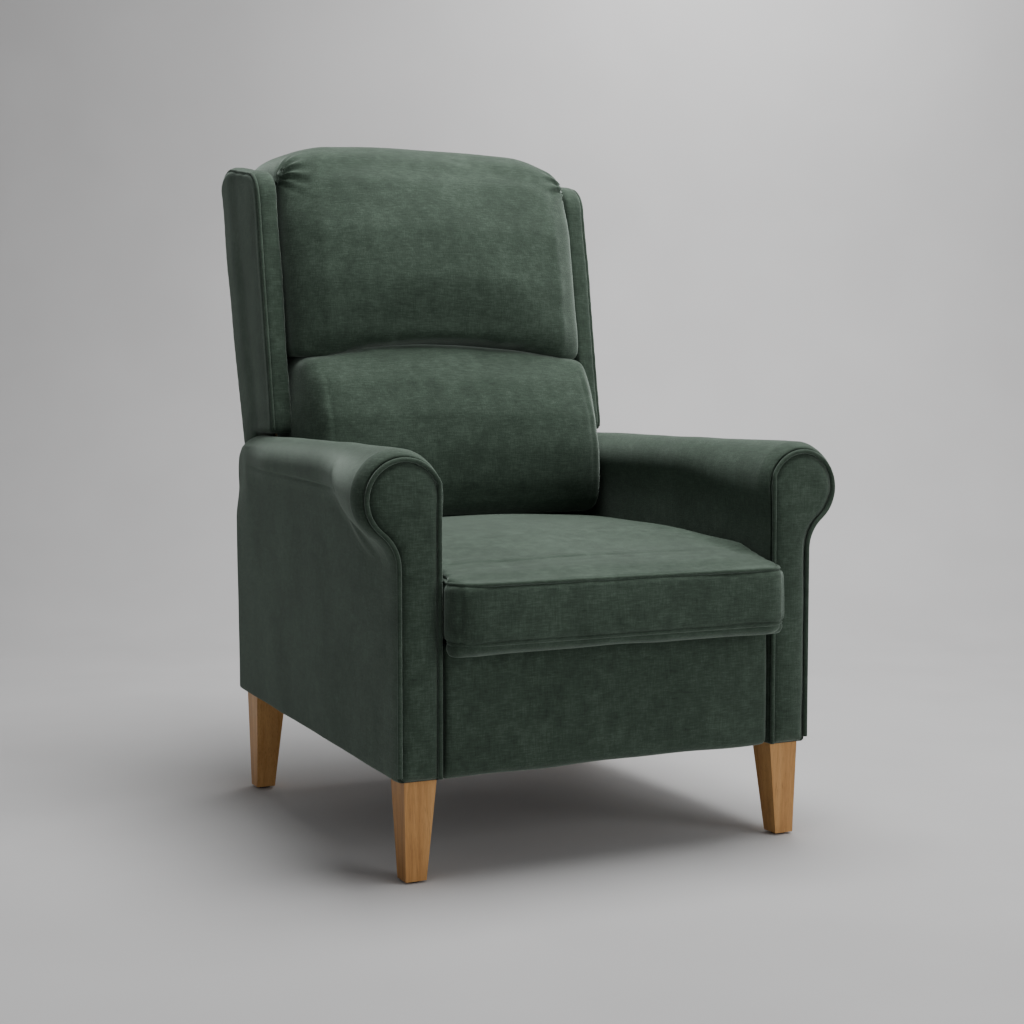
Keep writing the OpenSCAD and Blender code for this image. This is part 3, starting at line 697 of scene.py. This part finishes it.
# small tucks where the seam starts, and a crease up over the roll
for dy, dz, ty, tz, depth in ((0.186, 0.532, 0.168, 0.520, 0.0030), (0.192, 0.545, 0.166, 0.534, 0.0026),
                              (0.198, 0.520, 0.182, 0.508, 0.0022)):
    tuck = side_line([(FRONT + dy, dz), (FRONT + (dy + ty) / 2, (dz + tz) / 2 - 0.002), (FRONT + ty, tz)])
    groove(arm, tuck, depth, 0.0035, 0.3)
crease = side_line([(FRONT + 0.192 + 0.004 * k, 0.538 + 0.011 * k) for k in range(4)])
groove(arm, crease, 0.0010, 0.012, 0.3)
undulate(arm, 0.00025, 0.13, 3, lambda c: smoothstep(FRONT + 0.03, FRONT + 0.07, c[:, 1]))


def mirrored(obj, name):
    """The left-hand twin of a right-hand piece."""
    twin = bpy.data.objects.new(name, obj.data.copy())
    COLLECTION.objects.link(twin)
    co = coords(twin)
    co[:, 0] *= -1
    put(twin, co)
    twin.data.flip_normals()
    twin["slot_name"] = obj["slot_name"]
    return twin


def span_at(line, z):
    """Lowest and highest x where a closed outline crosses a height."""
    a, b = line, np.roll(line, -1, axis=0)
    low, high = np.minimum(a[:, 1], b[:, 1]), np.maximum(a[:, 1], b[:, 1])
    hit = (low <= z) & (high >= z) & (high > low)
    t = (z - a[hit, 1]) / (b[hit, 1] - a[hit, 1])
    x = a[hit, 0] + t * (b[hit, 0] - a[hit, 0])
    return x.min(), x.max()


def facing():
    """Padded front of the right arm: rows of points across its outline, closed at the back."""
    line = facing_outline(-0.0035)
    cloud = resample(line, 0.002, closed=True)
    low, top = line[:, 1].min(), line[:, 1].max()
    turn = top - PIPE_R
    levels = np.concatenate([low + 0.0002 + (turn - low) * np.linspace(0, 1, 96) ** 0.98,
                             turn + (top - turn - 0.0001) * np.sin(np.linspace(0, math.pi / 2, 34))[1:]])
    count = 30
    even = np.linspace(0, 1, count)
    t = 0.45 * even + 0.55 * (1 - np.cos(math.pi * even)) / 2
    x, z = [], []
    for level in levels:
        x0, x1 = span_at(line, level)
        x.append(x0 + (x1 - x0) * t)
        z.append(np.full(count, level))
    x, z = np.concatenate(x), np.concatenate(z)
    flat = np.stack([x, z], 1)
    dist = np.array([np.linalg.norm(cloud - q, axis=1).min() for q in flat])
    crown = 1 - np.exp(-dist / 0.0065)
    y = FRONT + 0.0075 - 0.0088 * crown - 0.0012 * smoothstep(0, 0.03, dist)
    front_part = np.stack([x, y, z], 1)
    back_part = np.stack([x, np.full(len(x), FRONT + 0.0105), z], 1)
    rows, size = len(levels), len(x)
    faces = []
    for j in range(rows - 1):
        for i in range(count - 1):
            q = (j * count + i, j * count + i + 1, (j + 1) * count + i + 1, (j + 1) * count + i)
            faces += [q, tuple(size + k for k in q[::-1])]
    border = [j * count for j in range(rows)] + [(rows - 1) * count + i for i in range(1, count)]
    border += [j * count + count - 1 for j in range(rows - 2, -1, -1)] + list(range(count - 2, 0, -1))
    for k, a in enumerate(border):
        b = border[(k + 1) % len(border)]
        faces.append((a, b, b + size, a + size))
    obj = clean(new_object("arm_facing_soft_right", np.vstack([front_part, back_part]), faces,
                           FABRIC))
    undulate(obj, 0.0004, 0.11, 12)
    return obj


OPEN_POINTS = 33 + 9 + 73 + 17 + 45         # an arm outline's points without its lower edge


def facing_piping():
    """Piping round the right facing, open at the bottom."""
    line = facing_outline()
    path = at_y(line[:OPEN_POINTS], FRONT + 0.0028)
    path = np.vstack([[path[0] + [0, 0, -0.004]], path, [path[-1] + [0, 0, -0.004]]])
    path = relax(resample(path, 0.004), 3)
    path[:, 0] = np.maximum(path[:, 0], RAIL_X + ARM_PIPE + 0.0014)     # the seat's rails pass inside it
    verts, faces = sweep(path, ARM_PIPE, 10)
    return clean(new_object("arm_piping_soft_right", verts, faces, PIPE_CLOTH))


face = facing()
pipe = facing_piping()
for side in ("right", "left"):
    for obj, part in ((arm, "arm_cover"), (face, "arm_facing"), (pipe, "arm_piping")):
        piece = obj if side == "right" else mirrored(obj, obj.name.replace("right", "left"))
        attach(piece, "base")
        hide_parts(f"{part}_{side}")

# --- seat cushion

seat_low, seat_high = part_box("seat_cushion")
NOSE_HALF = 0.2725         # the part in front of the facings is a little wider than the gap
CORNER_FRONT, CORNER_REAR = 0.036, 0.030                         # radii of its corners in plan
SEAM_Z = {"top": (0.4165, 0.437), "bottom": (0.3355, 0.350)}      # at the front, and further back


def rounded_plan(half, y0, y1, r, r_rear, step):
    """Closed plan outline with rounded corners, and inward directions."""
    plan = np.concatenate([
        [(-half, y1 - r_rear), (-half, y0 + r)],
        arc_points((-half + r, y0 + r), r, math.pi, 1.5 * math.pi, 12),
        arc_points((half - r, y0 + r), r, 1.5 * math.pi, 2 * math.pi, 12),
        [(half, y0 + r), (half, y1 - r_rear)],
        arc_points((half - r_rear, y1 - r_rear), r_rear, 0, math.pi / 2, 10),
        arc_points((-half + r_rear, y1 - r_rear), r_rear, math.pi / 2, math.pi, 10)])
    plan = resample(plan, step, closed=True)
    middle_y, reach = (y0 + y1) / 2, (y1 - y0) / 2
    inward = -np.stack([np.clip(plan[:, 0] / half, -1, 1) ** 7,
                        np.clip((plan[:, 1] - middle_y) / reach, -1, 1) ** 7], 1)
    return plan, np.hstack([inward, np.zeros((len(plan), 1))])


def seam_height(key, y):
    """Height of one of the seat cushion's seams at a row y."""
    front, rear = SEAM_Z[key]
    return front + (rear - front) * smoothstep(seat_low.y + 0.02, seat_low.y + 0.25, y)


def round_corners(co, half, y_end, sign, r):
    """Rounds two vertical corners in plan without folding the surface."""
    dx = np.abs(co[:, 0]) - (half - r)
    dy = sign * (y_end + sign * r - co[:, 1])
    hit = (dx > 0) & (dy > 0)
    k = np.maximum(dx, dy) / np.maximum(np.hypot(dx, dy), 1e-9)
    co[:, 0] = np.where(hit, np.sign(co[:, 0]) * (half - r + dx * k), co[:, 0])
    co[:, 1] = np.where(hit, y_end + sign * r - sign * dy * k, co[:, 1])


seat = copy_of("seat_cushion", "seat_cushion_soft", FABRIC)
remeshed(seat, 0.0065, 3)
co = coords(seat)
# squares the rounding of the top front edge, where the top seam runs
edge_r, edge_z = 0.022, 0.398
out, rise = seat_low.y + edge_r - co[:, 1], co[:, 2] - edge_z
hit = (out > 0) & (rise > 0) & (np.hypot(out, rise) > edge_r * 0.8)
k = np.where(hit, np.minimum(np.hypot(out, rise) / np.maximum(np.maximum(out, rise), 1e-9), 1.30), 1)
co[:, 1] -= np.where(hit, out * (k - 1), 0)
co[:, 2] += np.where(hit, rise * (k - 1), 0)
seat_half = np.abs(co[:, 0]).max()
round_corners(co, seat_half, co[:, 1].min(), 1, CORNER_FRONT)
round_corners(co, seat_half, co[:, 1].max(), -1, CORNER_REAR)
put(seat, co)


def seat_held(c):
    """Contact with the deck and the back, and the two seams."""
    height = np.minimum(np.abs(c[:, 2] - seam_height("top", c[:, 1])),
                        np.abs(c[:, 2] - seam_height("bottom", c[:, 1])))
    wall = np.minimum(seat_half - np.abs(c[:, 0]), c[:, 1] - seat_low.y) < 0.014
    corner = np.hypot(np.maximum(np.abs(c[:, 0]) - seat_half + CORNER_FRONT, 0),
                      np.maximum(seat_low.y + CORNER_FRONT - c[:, 1], 0)) > 0.022
    seams = (height < 0.005) & (wall | corner)
    return (c[:, 2] < seat_low.z + 0.05) & (c[:, 1] > FRONT) | (c[:, 1] > seat_high.y - 0.02) | seams


plan_puff(seat, seat_held, 0.020, 3.2, 14)

# --- back cushions

head_low, head_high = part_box("headrest_cushion")
lumb_low, lumb_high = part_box("lumbar_cushion")


SQUARE = 10                 # exponent of a plan that is nearly square
BACK_PUFF = 0.010, 2.5, 30  # the back cushions' swelling: cap, pressure, evening
CORNER_X, CORNER_REACH, CORNER_DROP = 0.175, 0.10, 0.031         # how the headrest's top falls off sideways


def barrel(co, half, new_half, rear_y, front_y, proud, p):
    """Turns the square plan of a cushion's front into a rounded one, without folding it."""
    u = np.abs(co[:, 0]) / half
    depth = rear_y - front_y
    t = np.clip((rear_y - co[:, 1]) / depth, 0, None)
    square = (u ** SQUARE + t ** SQUARE) ** (1 / SQUARE)
    k = square / np.maximum((u ** p + t ** p) ** (1 / p), 1e-9)
    co[:, 0] = np.sign(co[:, 0]) * new_half * u * k
    co[:, 1] = np.where(t > 0, rear_y - t * k * (depth + proud), co[:, 1])


def front_line(co, count=30):
    """Row y of the front surface as a function of height."""
    levels = np.linspace(co[:, 2].min() + 0.004, co[:, 2].max() - 0.004, count)
    ends = np.array([co[np.abs(co[:, 2] - z) < 0.008][:, 1].min() for z in levels])
    ends[1:-1] = (ends[:-2] + ends[1:-1] + ends[2:]) / 3
    return lambda z: np.interp(z, levels, ends)


panel = coords(NODES["outside_back_panel"])
p_low = panel[panel[:, 2] < panel[:, 2].min() + 0.004][:, 1].mean()
p_high = panel[panel[:, 2] > panel[:, 2].max() - 0.004][:, 1].mean()
LEAN = math.atan2(p_high - p_low, panel[:, 2].max() - panel[:, 2].min())


def behind(z):
    """Row y of the outside back at a height."""
    return p_low + (z - panel[:, 2].min()) * math.tan(LEAN)


head = copy_of("headrest_cushion", "headrest_cushion_soft", FABRIC)
remeshed(head, 0.0075, 14)
lumbar = copy_of("lumbar_cushion", "lumbar_cushion_soft", FABRIC)
remeshed(lumbar, 0.0075, 8)
wing_corners = coords(NODES["wing_cover_right"])
wing_corners = wing_corners[np.argsort(wing_corners[:, 1])]
edge_low = wing_corners[0]
edge_high = wing_corners[np.abs(wing_corners[:, 2] - edge_low[2]) > 0.2][0]


def wing_edge(z):
    """Row y of the wings' front edge at a height."""
    return edge_low[1] + (z - edge_low[2]) * (edge_high[1] - edge_low[1]) / (edge_high[2] - edge_low[2])


for obj, new_half, proud, p in ((head, head_high.x + 0.003, 0.016, 3.0),
                                (lumbar, lumb_high.x + 0.012, 0.010, 6.0)):
    co = coords(obj)
    half = np.abs(co[:, 0]).max()
    rear_y = np.maximum(wing_edge(co[:, 2]), wing_edge(edge_low[2])) + (0.006 if obj is head else 0.0)
    barrel(co, half, new_half, rear_y, np.minimum(front_line(co)(co[:, 2]), rear_y - 0.03), proud, p)
    put(obj, co)
plan_puff(head, lambda c: c[:, 1] > behind(c[:, 2]) - 0.09, *BACK_PUFF)
plan_puff(lumbar, lambda c: (c[:, 1] > behind(c[:, 2]) - 0.07) | (c[:, 2] < lumb_low.z + 0.11), *BACK_PUFF)

# --- footrest pad

pad_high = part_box("footrest_pad")[1]
pad = copy_of("footrest_pad", "footrest_pad_soft", FABRIC)
co = coords(pad)
co[:, 1] = pad_high.y + (co[:, 1] - pad_high.y) * 0.9
put(pad, co)
remeshed(pad, 0.005, 5)
plan_puff(pad, lambda c: c[:, 1] > pad_high.y - 0.010, 0.004, 1.0, 40)

run_puffs()

# --- after the simulation


def surface_tree(obj):
    return BVHTree.FromPolygons([tuple(v.co) for v in obj.data.vertices],
                                [tuple(p.vertices) for p in obj.data.polygons])


def snapped(obj, points, towards, sink=0.0):
    """Points moved along a direction onto the surface, and pushed in by sink."""
    tree = surface_tree(obj)
    out = []
    for p, d in zip(points, towards):
        d = Vector(d).normalized()
        hit = tree.ray_cast(Vector(p) - d * 0.12, d)
        if hit[0] is None:
            near = tree.find_nearest(Vector(p))
            out.append(tuple(near[0]))
        else:
            out.append(tuple(hit[0] + d * sink))
    return np.array(out)


co = coords(seat)
nose = co[:, 1] < FRONT
scale = NOSE_HALF / np.abs(co[nose, 0]).max()
inside = smoothstep(FRONT - 0.008, FRONT + 0.004, co[:, 1])
tight = np.clip(co[:, 0], -seat_high.x, seat_high.x)
co[:, 0] = co[:, 0] * scale * (1 - inside) + tight * inside
put(seat, co)
subdivided(seat)
# the boxing's two seams with their piping, all round the cushion
plan, inward = rounded_plan(NOSE_HALF, seat_low.y, seat_high.y - 0.002, CORNER_FRONT, CORNER_REAR, 0.005)
seams = {}
for key in SEAM_Z:
    start = np.stack([plan[:, 0], plan[:, 1], seam_height(key, plan[:, 1])], 1)
    seams[key] = relax(snapped(seat, start, inward), 4, closed=True)
for key, line in seams.items():
    closed_line = np.vstack([line, line[:1]])
    groove(seat, closed_line, 0.0034, 0.0055)
for key, line in seams.items():
    base = relax(snapped(seat, line, inward, -0.0008), 4, closed=True)
    verts, faces = sweep(base, SEAT_PIPE, 9, closed=True)
    tube = clean(new_object(f"seat_piping_{key}", verts, faces, PIPE_CLOTH))
    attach(tube, "seat")
undulate(seat, 0.0011, 0.19, 5)
undulate(seat, 0.0005, 0.06, 6, lambda c: (c[:, 1] < FRONT + 0.05) * 1.0)
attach(seat, "seat")
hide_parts("seat_cushion")

fill_height(head, head_low, head_high)
fill_height(lumbar, lumb_low, lumb_high)
co = coords(head)
reach = np.clip((np.abs(co[:, 0]) - CORNER_X) / CORNER_REACH, 0, 1.1) ** 1.7
co[:, 2] -= CORNER_DROP * reach * smoothstep(head_high.z - 0.17, head_high.z - 0.01, co[:, 2])
put(head, co)
subdivided(head)
subdivided(lumbar)
for side in (-1, 1):
    pleats(head, (side * (head_high.x - 0.002), wing_edge(1.02) + 0.028, 1.012), (-side, -0.25, 0.42), 0.085,
           5, 1.05, 0.0046, 0.002)
undulate(head, 0.0010, 0.21, 7)
undulate(lumbar, 0.0012, 0.2, 8)
for s in (-1, 1):
    z = np.linspace(lumb_low.z + 0.11, lumb_high.z - 0.05, 40)
    start = np.stack([np.full(40, s * (lumb_high.x - 0.017)), np.full(40, lumb_low.y - 0.05), z], 1)
    line = relax(snapped(lumbar, start, np.tile([0.0, 1.0, 0.0], (40, 1))), 4)
    groove(lumbar, line, 0.0016, 0.0040, 0.05)
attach(head, "back")
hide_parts("headrest_cushion")
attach(lumbar, "back")
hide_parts("lumbar_cushion")

subdivided(pad)
undulate(pad, 0.0008, 0.15, 9)
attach(pad, "footrest")
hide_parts("footrest_pad")

# --- wings


rear_face = np.array([0.0, p_low, panel[:, 2].min()])
up_back = np.array([0.0, math.sin(LEAN), math.cos(LEAN)])
out_back = np.array([0.0, math.cos(LEAN), -math.sin(LEAN)])
rel = panel - rear_face
s_of, w_of = rel @ up_back, rel @ out_back


def face_outline(node, axis, value):
    """Ordered outline of the flat face of a node's mesh that lies at a value of an axis."""
    mesh = NODES[node].data
    edges = {}
    for poly in mesh.polygons:
        pts = [mesh.vertices[i].co for i in poly.vertices]
        if max(abs(p[axis] - value) for p in pts) > 1e-4:
            continue
        keys = [tuple(round(c, 5) for c in p) for p in pts]
        for a, b in zip(keys, keys[1:] + keys[:1]):
            if (b, a) in edges:
                del edges[(b, a)]
            else:
                edges[(a, b)] = True
    follow = {a: b for a, b in edges}
    start = next(iter(follow))
    loop, here = [start], follow[start]
    while here != start:
        loop.append(here)
        here = follow[here]
    keep = [k for k in range(3) if k != axis]
    return np.array(loop)[:, keep]


def wing():
    """Right wing: a slab with soft edges, from the outline of its CAD solid."""
    c = coords(NODES["wing_cover_right"])
    x0, x1 = c[:, 0].min(), c[:, 0].max()
    hull = face_outline("wing_cover_right", 0, x1)
    # its rear edge wraps the edge of the outside back, and its lower edge comes down to the arm
    depth = (hull - rear_face[1:]) @ out_back[1:]
    hull = hull - (np.where(depth > -0.02, depth, 0)[:, None] * out_back[1:])
    rear_top = np.argmax(hull[:, 0] + hull[:, 1])
    corner = hull[rear_top]
    up = up_back[1:]
    bend = [corner + up * 0.002, corner + up * 0.017 - out_back[1:] * 0.022,
            corner + up * 0.017 - out_back[1:] * 0.060]
    before = hull[rear_top - 1]
    if abs(before[1] - corner[1]) < 0.1:
        bend = bend[::-1]
    hull = np.vstack([hull[:rear_top], bend, hull[rear_top + 1:]])
    low_part = 1 - smoothstep(0.60, 0.66, hull[:, 1])
    hull[:, 1] -= 0.0015 * low_part
    grow = np.array([1.5, 1.0]) * 0.0022
    hull = hull + grow * np.clip((hull - hull.mean(0)) / np.array([0.09, 0.2]), -1, 1)
    hull = resample(hull, 0.012, closed=True)
    n = len(hull)
    verts = [(x, y, z) for x in (x0, x1) for y, z in hull]
    faces = [tuple(range(n)), tuple(range(n, 2 * n))[::-1]]
    faces += [(i, n + i, n + (i + 1) % n, (i + 1) % n) for i in range(n)]
    obj = clean(new_object("wing_soft_right", verts, faces, FABRIC))
    remeshed(obj, 0.006, 5)
    co = coords(obj)
    middle = (x0 + x1) / 2
    outline = np.vstack([hull, hull[:1]])
    edge, _ = distance_to(co[:, 1:3], outline)
    pad_in = 0.004 * smoothstep(0.0, 0.05, edge)
    rear = (co[:, 1:3] - rear_face[1:]) @ out_back[1:]
    dip = 0.0035 * smoothstep(-0.045, -0.09, rear) * smoothstep(0.0, 0.02, edge)
    co[:, 0] += np.where(co[:, 0] > middle, pad_in * 0.4 + 0.002 - dip, -pad_in)
    put(obj, co)
    subdivided(obj)
    return obj, hull, x1


wing_obj, hull, wx1 = wing()
front_low = hull[np.argmin(hull[:, 0] + (hull[:, 1] - hull[:, 1].min()) * 0.4)]
closed = resample(hull, 0.004, closed=True)
area = 0.5 * np.sum(closed[:, 0] * np.roll(closed[:, 1], -1) - np.roll(closed[:, 0], -1) * closed[:, 1])
if area > 0:
    closed = closed[::-1]
start = np.argmin(np.linalg.norm(closed - front_low, axis=1))
closed = np.roll(closed, -start, axis=0)
rear_top = np.argmax(closed[:, 0] + closed[:, 1])
edge_line = closed[: rear_top + 1]
seam_x = wx1 - 0.006
start = np.stack([np.full(len(edge_line), seam_x), edge_line[:, 0], edge_line[:, 1]], 1)
middle = np.array([seam_x, hull[:, 0].mean(), hull[:, 1].mean()])
across = np.gradient(edge_line, axis=0) @ np.array([[0, -1], [1, 0]])
toward = np.stack([np.full(len(start), -0.45), *across.T], 1)
toward[:, 1:] /= np.linalg.norm(toward[:, 1:], axis=1)[:, None]
if ((middle - start)[:, 1:] * toward[:, 1:]).sum() < 0:
    toward[:, 1:] *= -1
start += np.array([0.004, 0, 0])
line = relax(snapped(wing_obj, start, toward), 5)
groove(wing_obj, line, 0.0035, 0.0055)
undulate(wing_obj, 0.0007, 0.14, 10)
base = relax(snapped(wing_obj, start, toward, -0.0006), 5)
verts, faces = sweep(base, WING_PIPE, 9)
wing_pipe = clean(new_object("wing_piping_right", verts, faces, PIPE_CLOTH))
for side in ("right", "left"):
    main = wing_obj if side == "right" else mirrored(wing_obj, "wing_soft_left")
    trim = wing_pipe if side == "right" else mirrored(wing_pipe, "wing_piping_left")
    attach(main, "back")
    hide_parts(f"wing_cover_{side}")
    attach(trim, "back")

# --- back panels and hidden cloth


def slab(name, outline, origin, u_axis, v_axis, thick, puff, rim, material, grid=0.009):
    """Upholstered board: outline in (u, v), its outer face towards u x v."""
    u_axis, v_axis = np.array(u_axis, float), np.array(v_axis, float)
    w_axis = np.cross(u_axis, v_axis)
    line = resample(outline, grid, closed=True)
    centre = (line.max(0) + line.min(0)) / 2
    loops = []

    def ring(scale, depth):
        flat = centre + (line - centre) * scale
        spot = np.array(origin) + flat[:, :1] * u_axis + flat[:, 1:] * v_axis
        return spot + np.reshape(depth, (-1, 1)) * w_axis

    size = (line.max(0) - line.min(0)).min()
    for s in np.linspace(0.02, 0.97, 8):
        loops.append(ring(s, np.full(len(line), -thick)))
    for k in range(7):
        a = math.pi * k / 6
        inset = rim * (1 - math.sin(a)) if rim * 2 <= thick else thick / 2 * (1 - math.sin(a))
        loops.append(ring(1 - 2 * inset / size, np.full(len(line), -thick / 2 - thick / 2 * math.cos(a))))
    for s in np.linspace(0.97, 0.02, 26):
        loops.append(ring(s, np.full(len(line), puff * (1 - s ** 3))))
    return rings(name, loops, material)


thick = w_of.max() - w_of.min()
narrow = np.abs(panel[s_of < 0.02][:, 0]).max()
wide = np.abs(panel[:, 0]).max()
step = s_of[(np.abs(panel[:, 0]) > wide - 0.002)].min()
side_top = s_of[(np.abs(panel[:, 0]) > wide - 0.002)].max()
top = s_of.max()
xs = np.linspace(-wide, wide, 31)
sagitta = top - side_top
edge_in = 0.011            # the wings' cloth wraps round to here
outline = [(-narrow, 0.0), (-narrow, step - 0.004), (edge_in - wide, step)]
outline += [(x * (1 - edge_in / wide), side_top + sagitta * (1 - (x / wide) ** 2)) for x in xs]
outline += [(wide - edge_in, step), (narrow, step - 0.004), (narrow, 0.0)]
origin = rear_face + out_back * w_of.max()
back_panel = slab("outside_back_soft", outline, origin, (-1, 0, 0), up_back, thick, 0.005, 0.004,
                  FABRIC)
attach(back_panel, "back")
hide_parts("outside_back_panel")
rb = coords(NODES["rear_base_panel"])
rb_low, rb_high = rb.min(0), rb.max(0)
wide_top = rb[np.abs(rb[:, 0]) > rb_high[0] - 0.002][:, 2].max()
narrow_x = np.abs(rb[rb[:, 2] > rb_high[2] - 0.002][:, 0]).max()
outline = [(-rb_high[0], rb_low[2]), (-rb_high[0], wide_top), (-narrow_x, wide_top + 0.001),
           (-narrow_x, rb_high[2]), (narrow_x, rb_high[2]), (narrow_x, wide_top + 0.001),
           (rb_high[0], wide_top), (rb_high[0], rb_low[2])]
rear_panel = slab("rear_base_soft", outline, (0, rb_high[1] - 0.001, 0), (-1, 0, 0), (0, 0, 1),
                  rb_high[1] - rb_low[1] - 0.001, 0.003, 0.004, FABRIC)
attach(rear_panel, "base")
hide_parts("rear_base_panel")

deck_low, deck_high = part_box("seat_deck")
outline = [(deck_low.x, deck_low.y), (deck_high.x, deck_low.y),
           (deck_high.x, deck_high.y), (deck_low.x, deck_high.y)]
deck = slab("seat_deck_cloth", outline, (0, 0, deck_high.z - 0.001), (1, 0, 0), (0, 1, 0),
            deck_high.z - deck_low.z - 0.001, 0.0008, 0.003, PLATFORM, 0.02)
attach(deck, "seat")
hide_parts("seat_deck")


def straps(node, name, body):
    """Elastic straps with rolled edges, one for each solid of the node."""
    src = NODES[node]
    bm = bmesh.new()
    bm.from_mesh(src.data)
    bmesh.ops.remove_doubles(bm, verts=bm.verts, dist=1e-5)
    todo, groups = set(bm.verts), []
    for first in bm.verts:
        if first not in todo:
            continue
        todo.remove(first)
        stack, group = [first], []
        while stack:
            v = stack.pop()
            group.append(np.array(v.co))
            for e in v.link_edges:
                o = e.other_vert(v)
                if o in todo:
                    todo.remove(o)
                    stack.append(o)
        groups.append(np.array(group))
    bm.free()
    verts, faces = [], []
    for g in groups:
        centre = g.mean(0)
        _, _, axes = np.linalg.svd(g - centre)
        span = [np.abs((g - centre) @ a).max() for a in axes]
        profile = [(-1, -0.5), (-0.94, -1), (-0.3, -0.86), (0.3, -0.86), (0.94, -1), (1, -0.5),
                   (1, 0.5), (0.94, 1), (0.3, 0.86), (-0.3, 0.86), (-0.94, 1), (-1, 0.5)]
        count, base = 40, len(verts)
        for i in range(count):
            t = -1 + 2 * i / (count - 1)
            for a, b in profile:
                verts.append(centre + axes[0] * span[0] * t + axes[1] * span[1] * a
                             + axes[2] * span[2] * b * 0.98)
        m = len(profile)
        for i in range(count - 1):
            a, b = base + i * m, base + (i + 1) * m
            faces += [(a + k, a + (k + 1) % m, b + (k + 1) % m, b + k) for k in range(m)]
        faces += [tuple(range(base, base + m))[::-1], tuple(range(base + (count - 1) * m, base + count * m))]
    obj = clean(new_object(name, verts, faces, WEBBING))
    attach(obj, body)
    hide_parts(node)


straps("seat_webbing", "seat_straps", "seat")
straps("back_webbing", "back_straps", "back")

for obj in list(bpy.context.scene.objects):
    if "slot_name" in obj:
        del obj["slot_name"]

# --- CAD nodes that stay

CROSS = ("rear_rail", "seat_front_rail", "seat_rear_rail", "footrest_board")
FINISH = {"oak": OAK, "timber": TIMBER, "steel": STEEL, "fastener": ZINC, "glide": GLIDE,
          "webbing": WEBBING, "platform_cloth": PLATFORM, "upholstery": FABRIC, "piping": PIPE_CLOTH}
slots = {s["node"]: s["material_slot"] for s in frame["record"]["subparts"]}
for name, obj in NODES.items():
    material = TIMBER_X if name in CROSS else FINISH[slots[name]]
    obj.data.materials.clear()
    obj.data.materials.append(material)
    if slots[name] in ("oak", "timber"):
        bevel = obj.modifiers.new("eased_edges", "BEVEL")
        bevel.width = 0.0022 if slots[name] == "oak" else 0.0012
        bevel.segments = 3
        bevel.limit_method, bevel.angle_limit = "ANGLE", math.radians(40)

# --- stage, light and camera


AZIMUTH, ELEVATION, DISTANCE = math.radians(-26.25), math.radians(4.14), 2.916
SENSOR, LENS = 36, 62.81


def studio():
    """Pale floor that curves up into the backdrop."""
    flat, bend = 1.6, 1.4         # where the floor starts to curve up, and the curve's radius
    profile = [(-6.0, 0.0), (flat, 0.0)]
    turn = np.linspace(0.05, math.pi / 2, 16)
    profile += [(flat + bend * math.sin(a), bend - bend * math.cos(a)) for a in turn]
    profile += [(flat + bend, 5.5)]
    side = np.array([math.cos(AZIMUTH), math.sin(AZIMUTH)])
    away = np.array([-math.sin(AZIMUTH), math.cos(AZIMUTH)])
    verts, faces = [], []
    for d, z in profile:
        for w in (-7.0, 7.0):
            p = side * w + away * d
            verts.append((p[0], p[1], z))
    for i in range(len(profile) - 1):
        faces.append((2 * i, 2 * i + 1, 2 * i + 3, 2 * i + 2))
    mesh = bpy.data.meshes.new("studio_floor")
    mesh.from_pydata(verts, [], faces)
    obj = bpy.data.objects.new("studio_floor", mesh)
    COLLECTION.objects.link(obj)
    mat, tree, shader, where = make_material("studio_paper")
    grain = noise_node(tree, where, 3, 2)
    tree.links.new(ramp(tree, grain, [(0.3, (0.55, 0.545, 0.545)), (0.7, (0.58, 0.575, 0.575))]),
                   shader.inputs["Base Color"])
    shader.inputs["Roughness"].default_value = 0.9
    shader.inputs["Specular IOR Level"].default_value = 0.1
    obj.data.materials.append(mat)
    mesh.polygons.foreach_set("use_smooth", np.ones(len(mesh.polygons), bool))


studio()


def area_light(name, location, target, size, power):
    light = bpy.data.lights.new(name, "AREA")
    light.shape, light.size, light.size_y = "RECTANGLE", *size
    light.energy = power
    obj = bpy.data.objects.new(name, light)
    COLLECTION.objects.link(obj)
    obj.location = location
    obj.rotation_mode = "QUATERNION"
    obj.rotation_quaternion = (Vector(target) - Vector(location)).to_track_quat("-Z", "Y")


middle = (cad_low + cad_high) / 2
area_light("key", (0.40, -0.20, 3.0), (0.05, -0.1, 0.4), (2.0, 1.6), 104)
area_light("fill", (2.2, -3.8, 1.5), middle, (2.2, 2.2), 50)
area_light("backdrop", (1.5, 1.3, 2.5), (2.0, 2.7, 0.9), (1.0, 0.8), 31)
world = bpy.data.worlds.new("studio")
world.use_nodes = True
world.node_tree.nodes["Background"].inputs[0].default_value = (0.86, 0.86, 0.87, 1)
world.node_tree.nodes["Background"].inputs[1].default_value = 0.23
bpy.context.scene.world = world

camera_data = bpy.data.cameras.new("camera")
camera = bpy.data.objects.new("camera", camera_data)
COLLECTION.objects.link(camera)
target = Vector((middle.x + 0.028, middle.y - 0.0234, middle.z - 0.0725))
back_dir = Vector((math.sin(AZIMUTH) * math.cos(ELEVATION), -math.cos(AZIMUTH) * math.cos(ELEVATION),
                   math.sin(ELEVATION)))
camera.location = target + back_dir * DISTANCE
camera.rotation_mode = "QUATERNION"
camera.rotation_quaternion = (-back_dir).to_track_quat("-Z", "Y")
camera_data.sensor_width, camera_data.lens = SENSOR, LENS
camera_data.dof.use_dof = False
camera_data.clip_start, camera_data.clip_end = 0.05, 60
bpy.context.scene.camera = camera
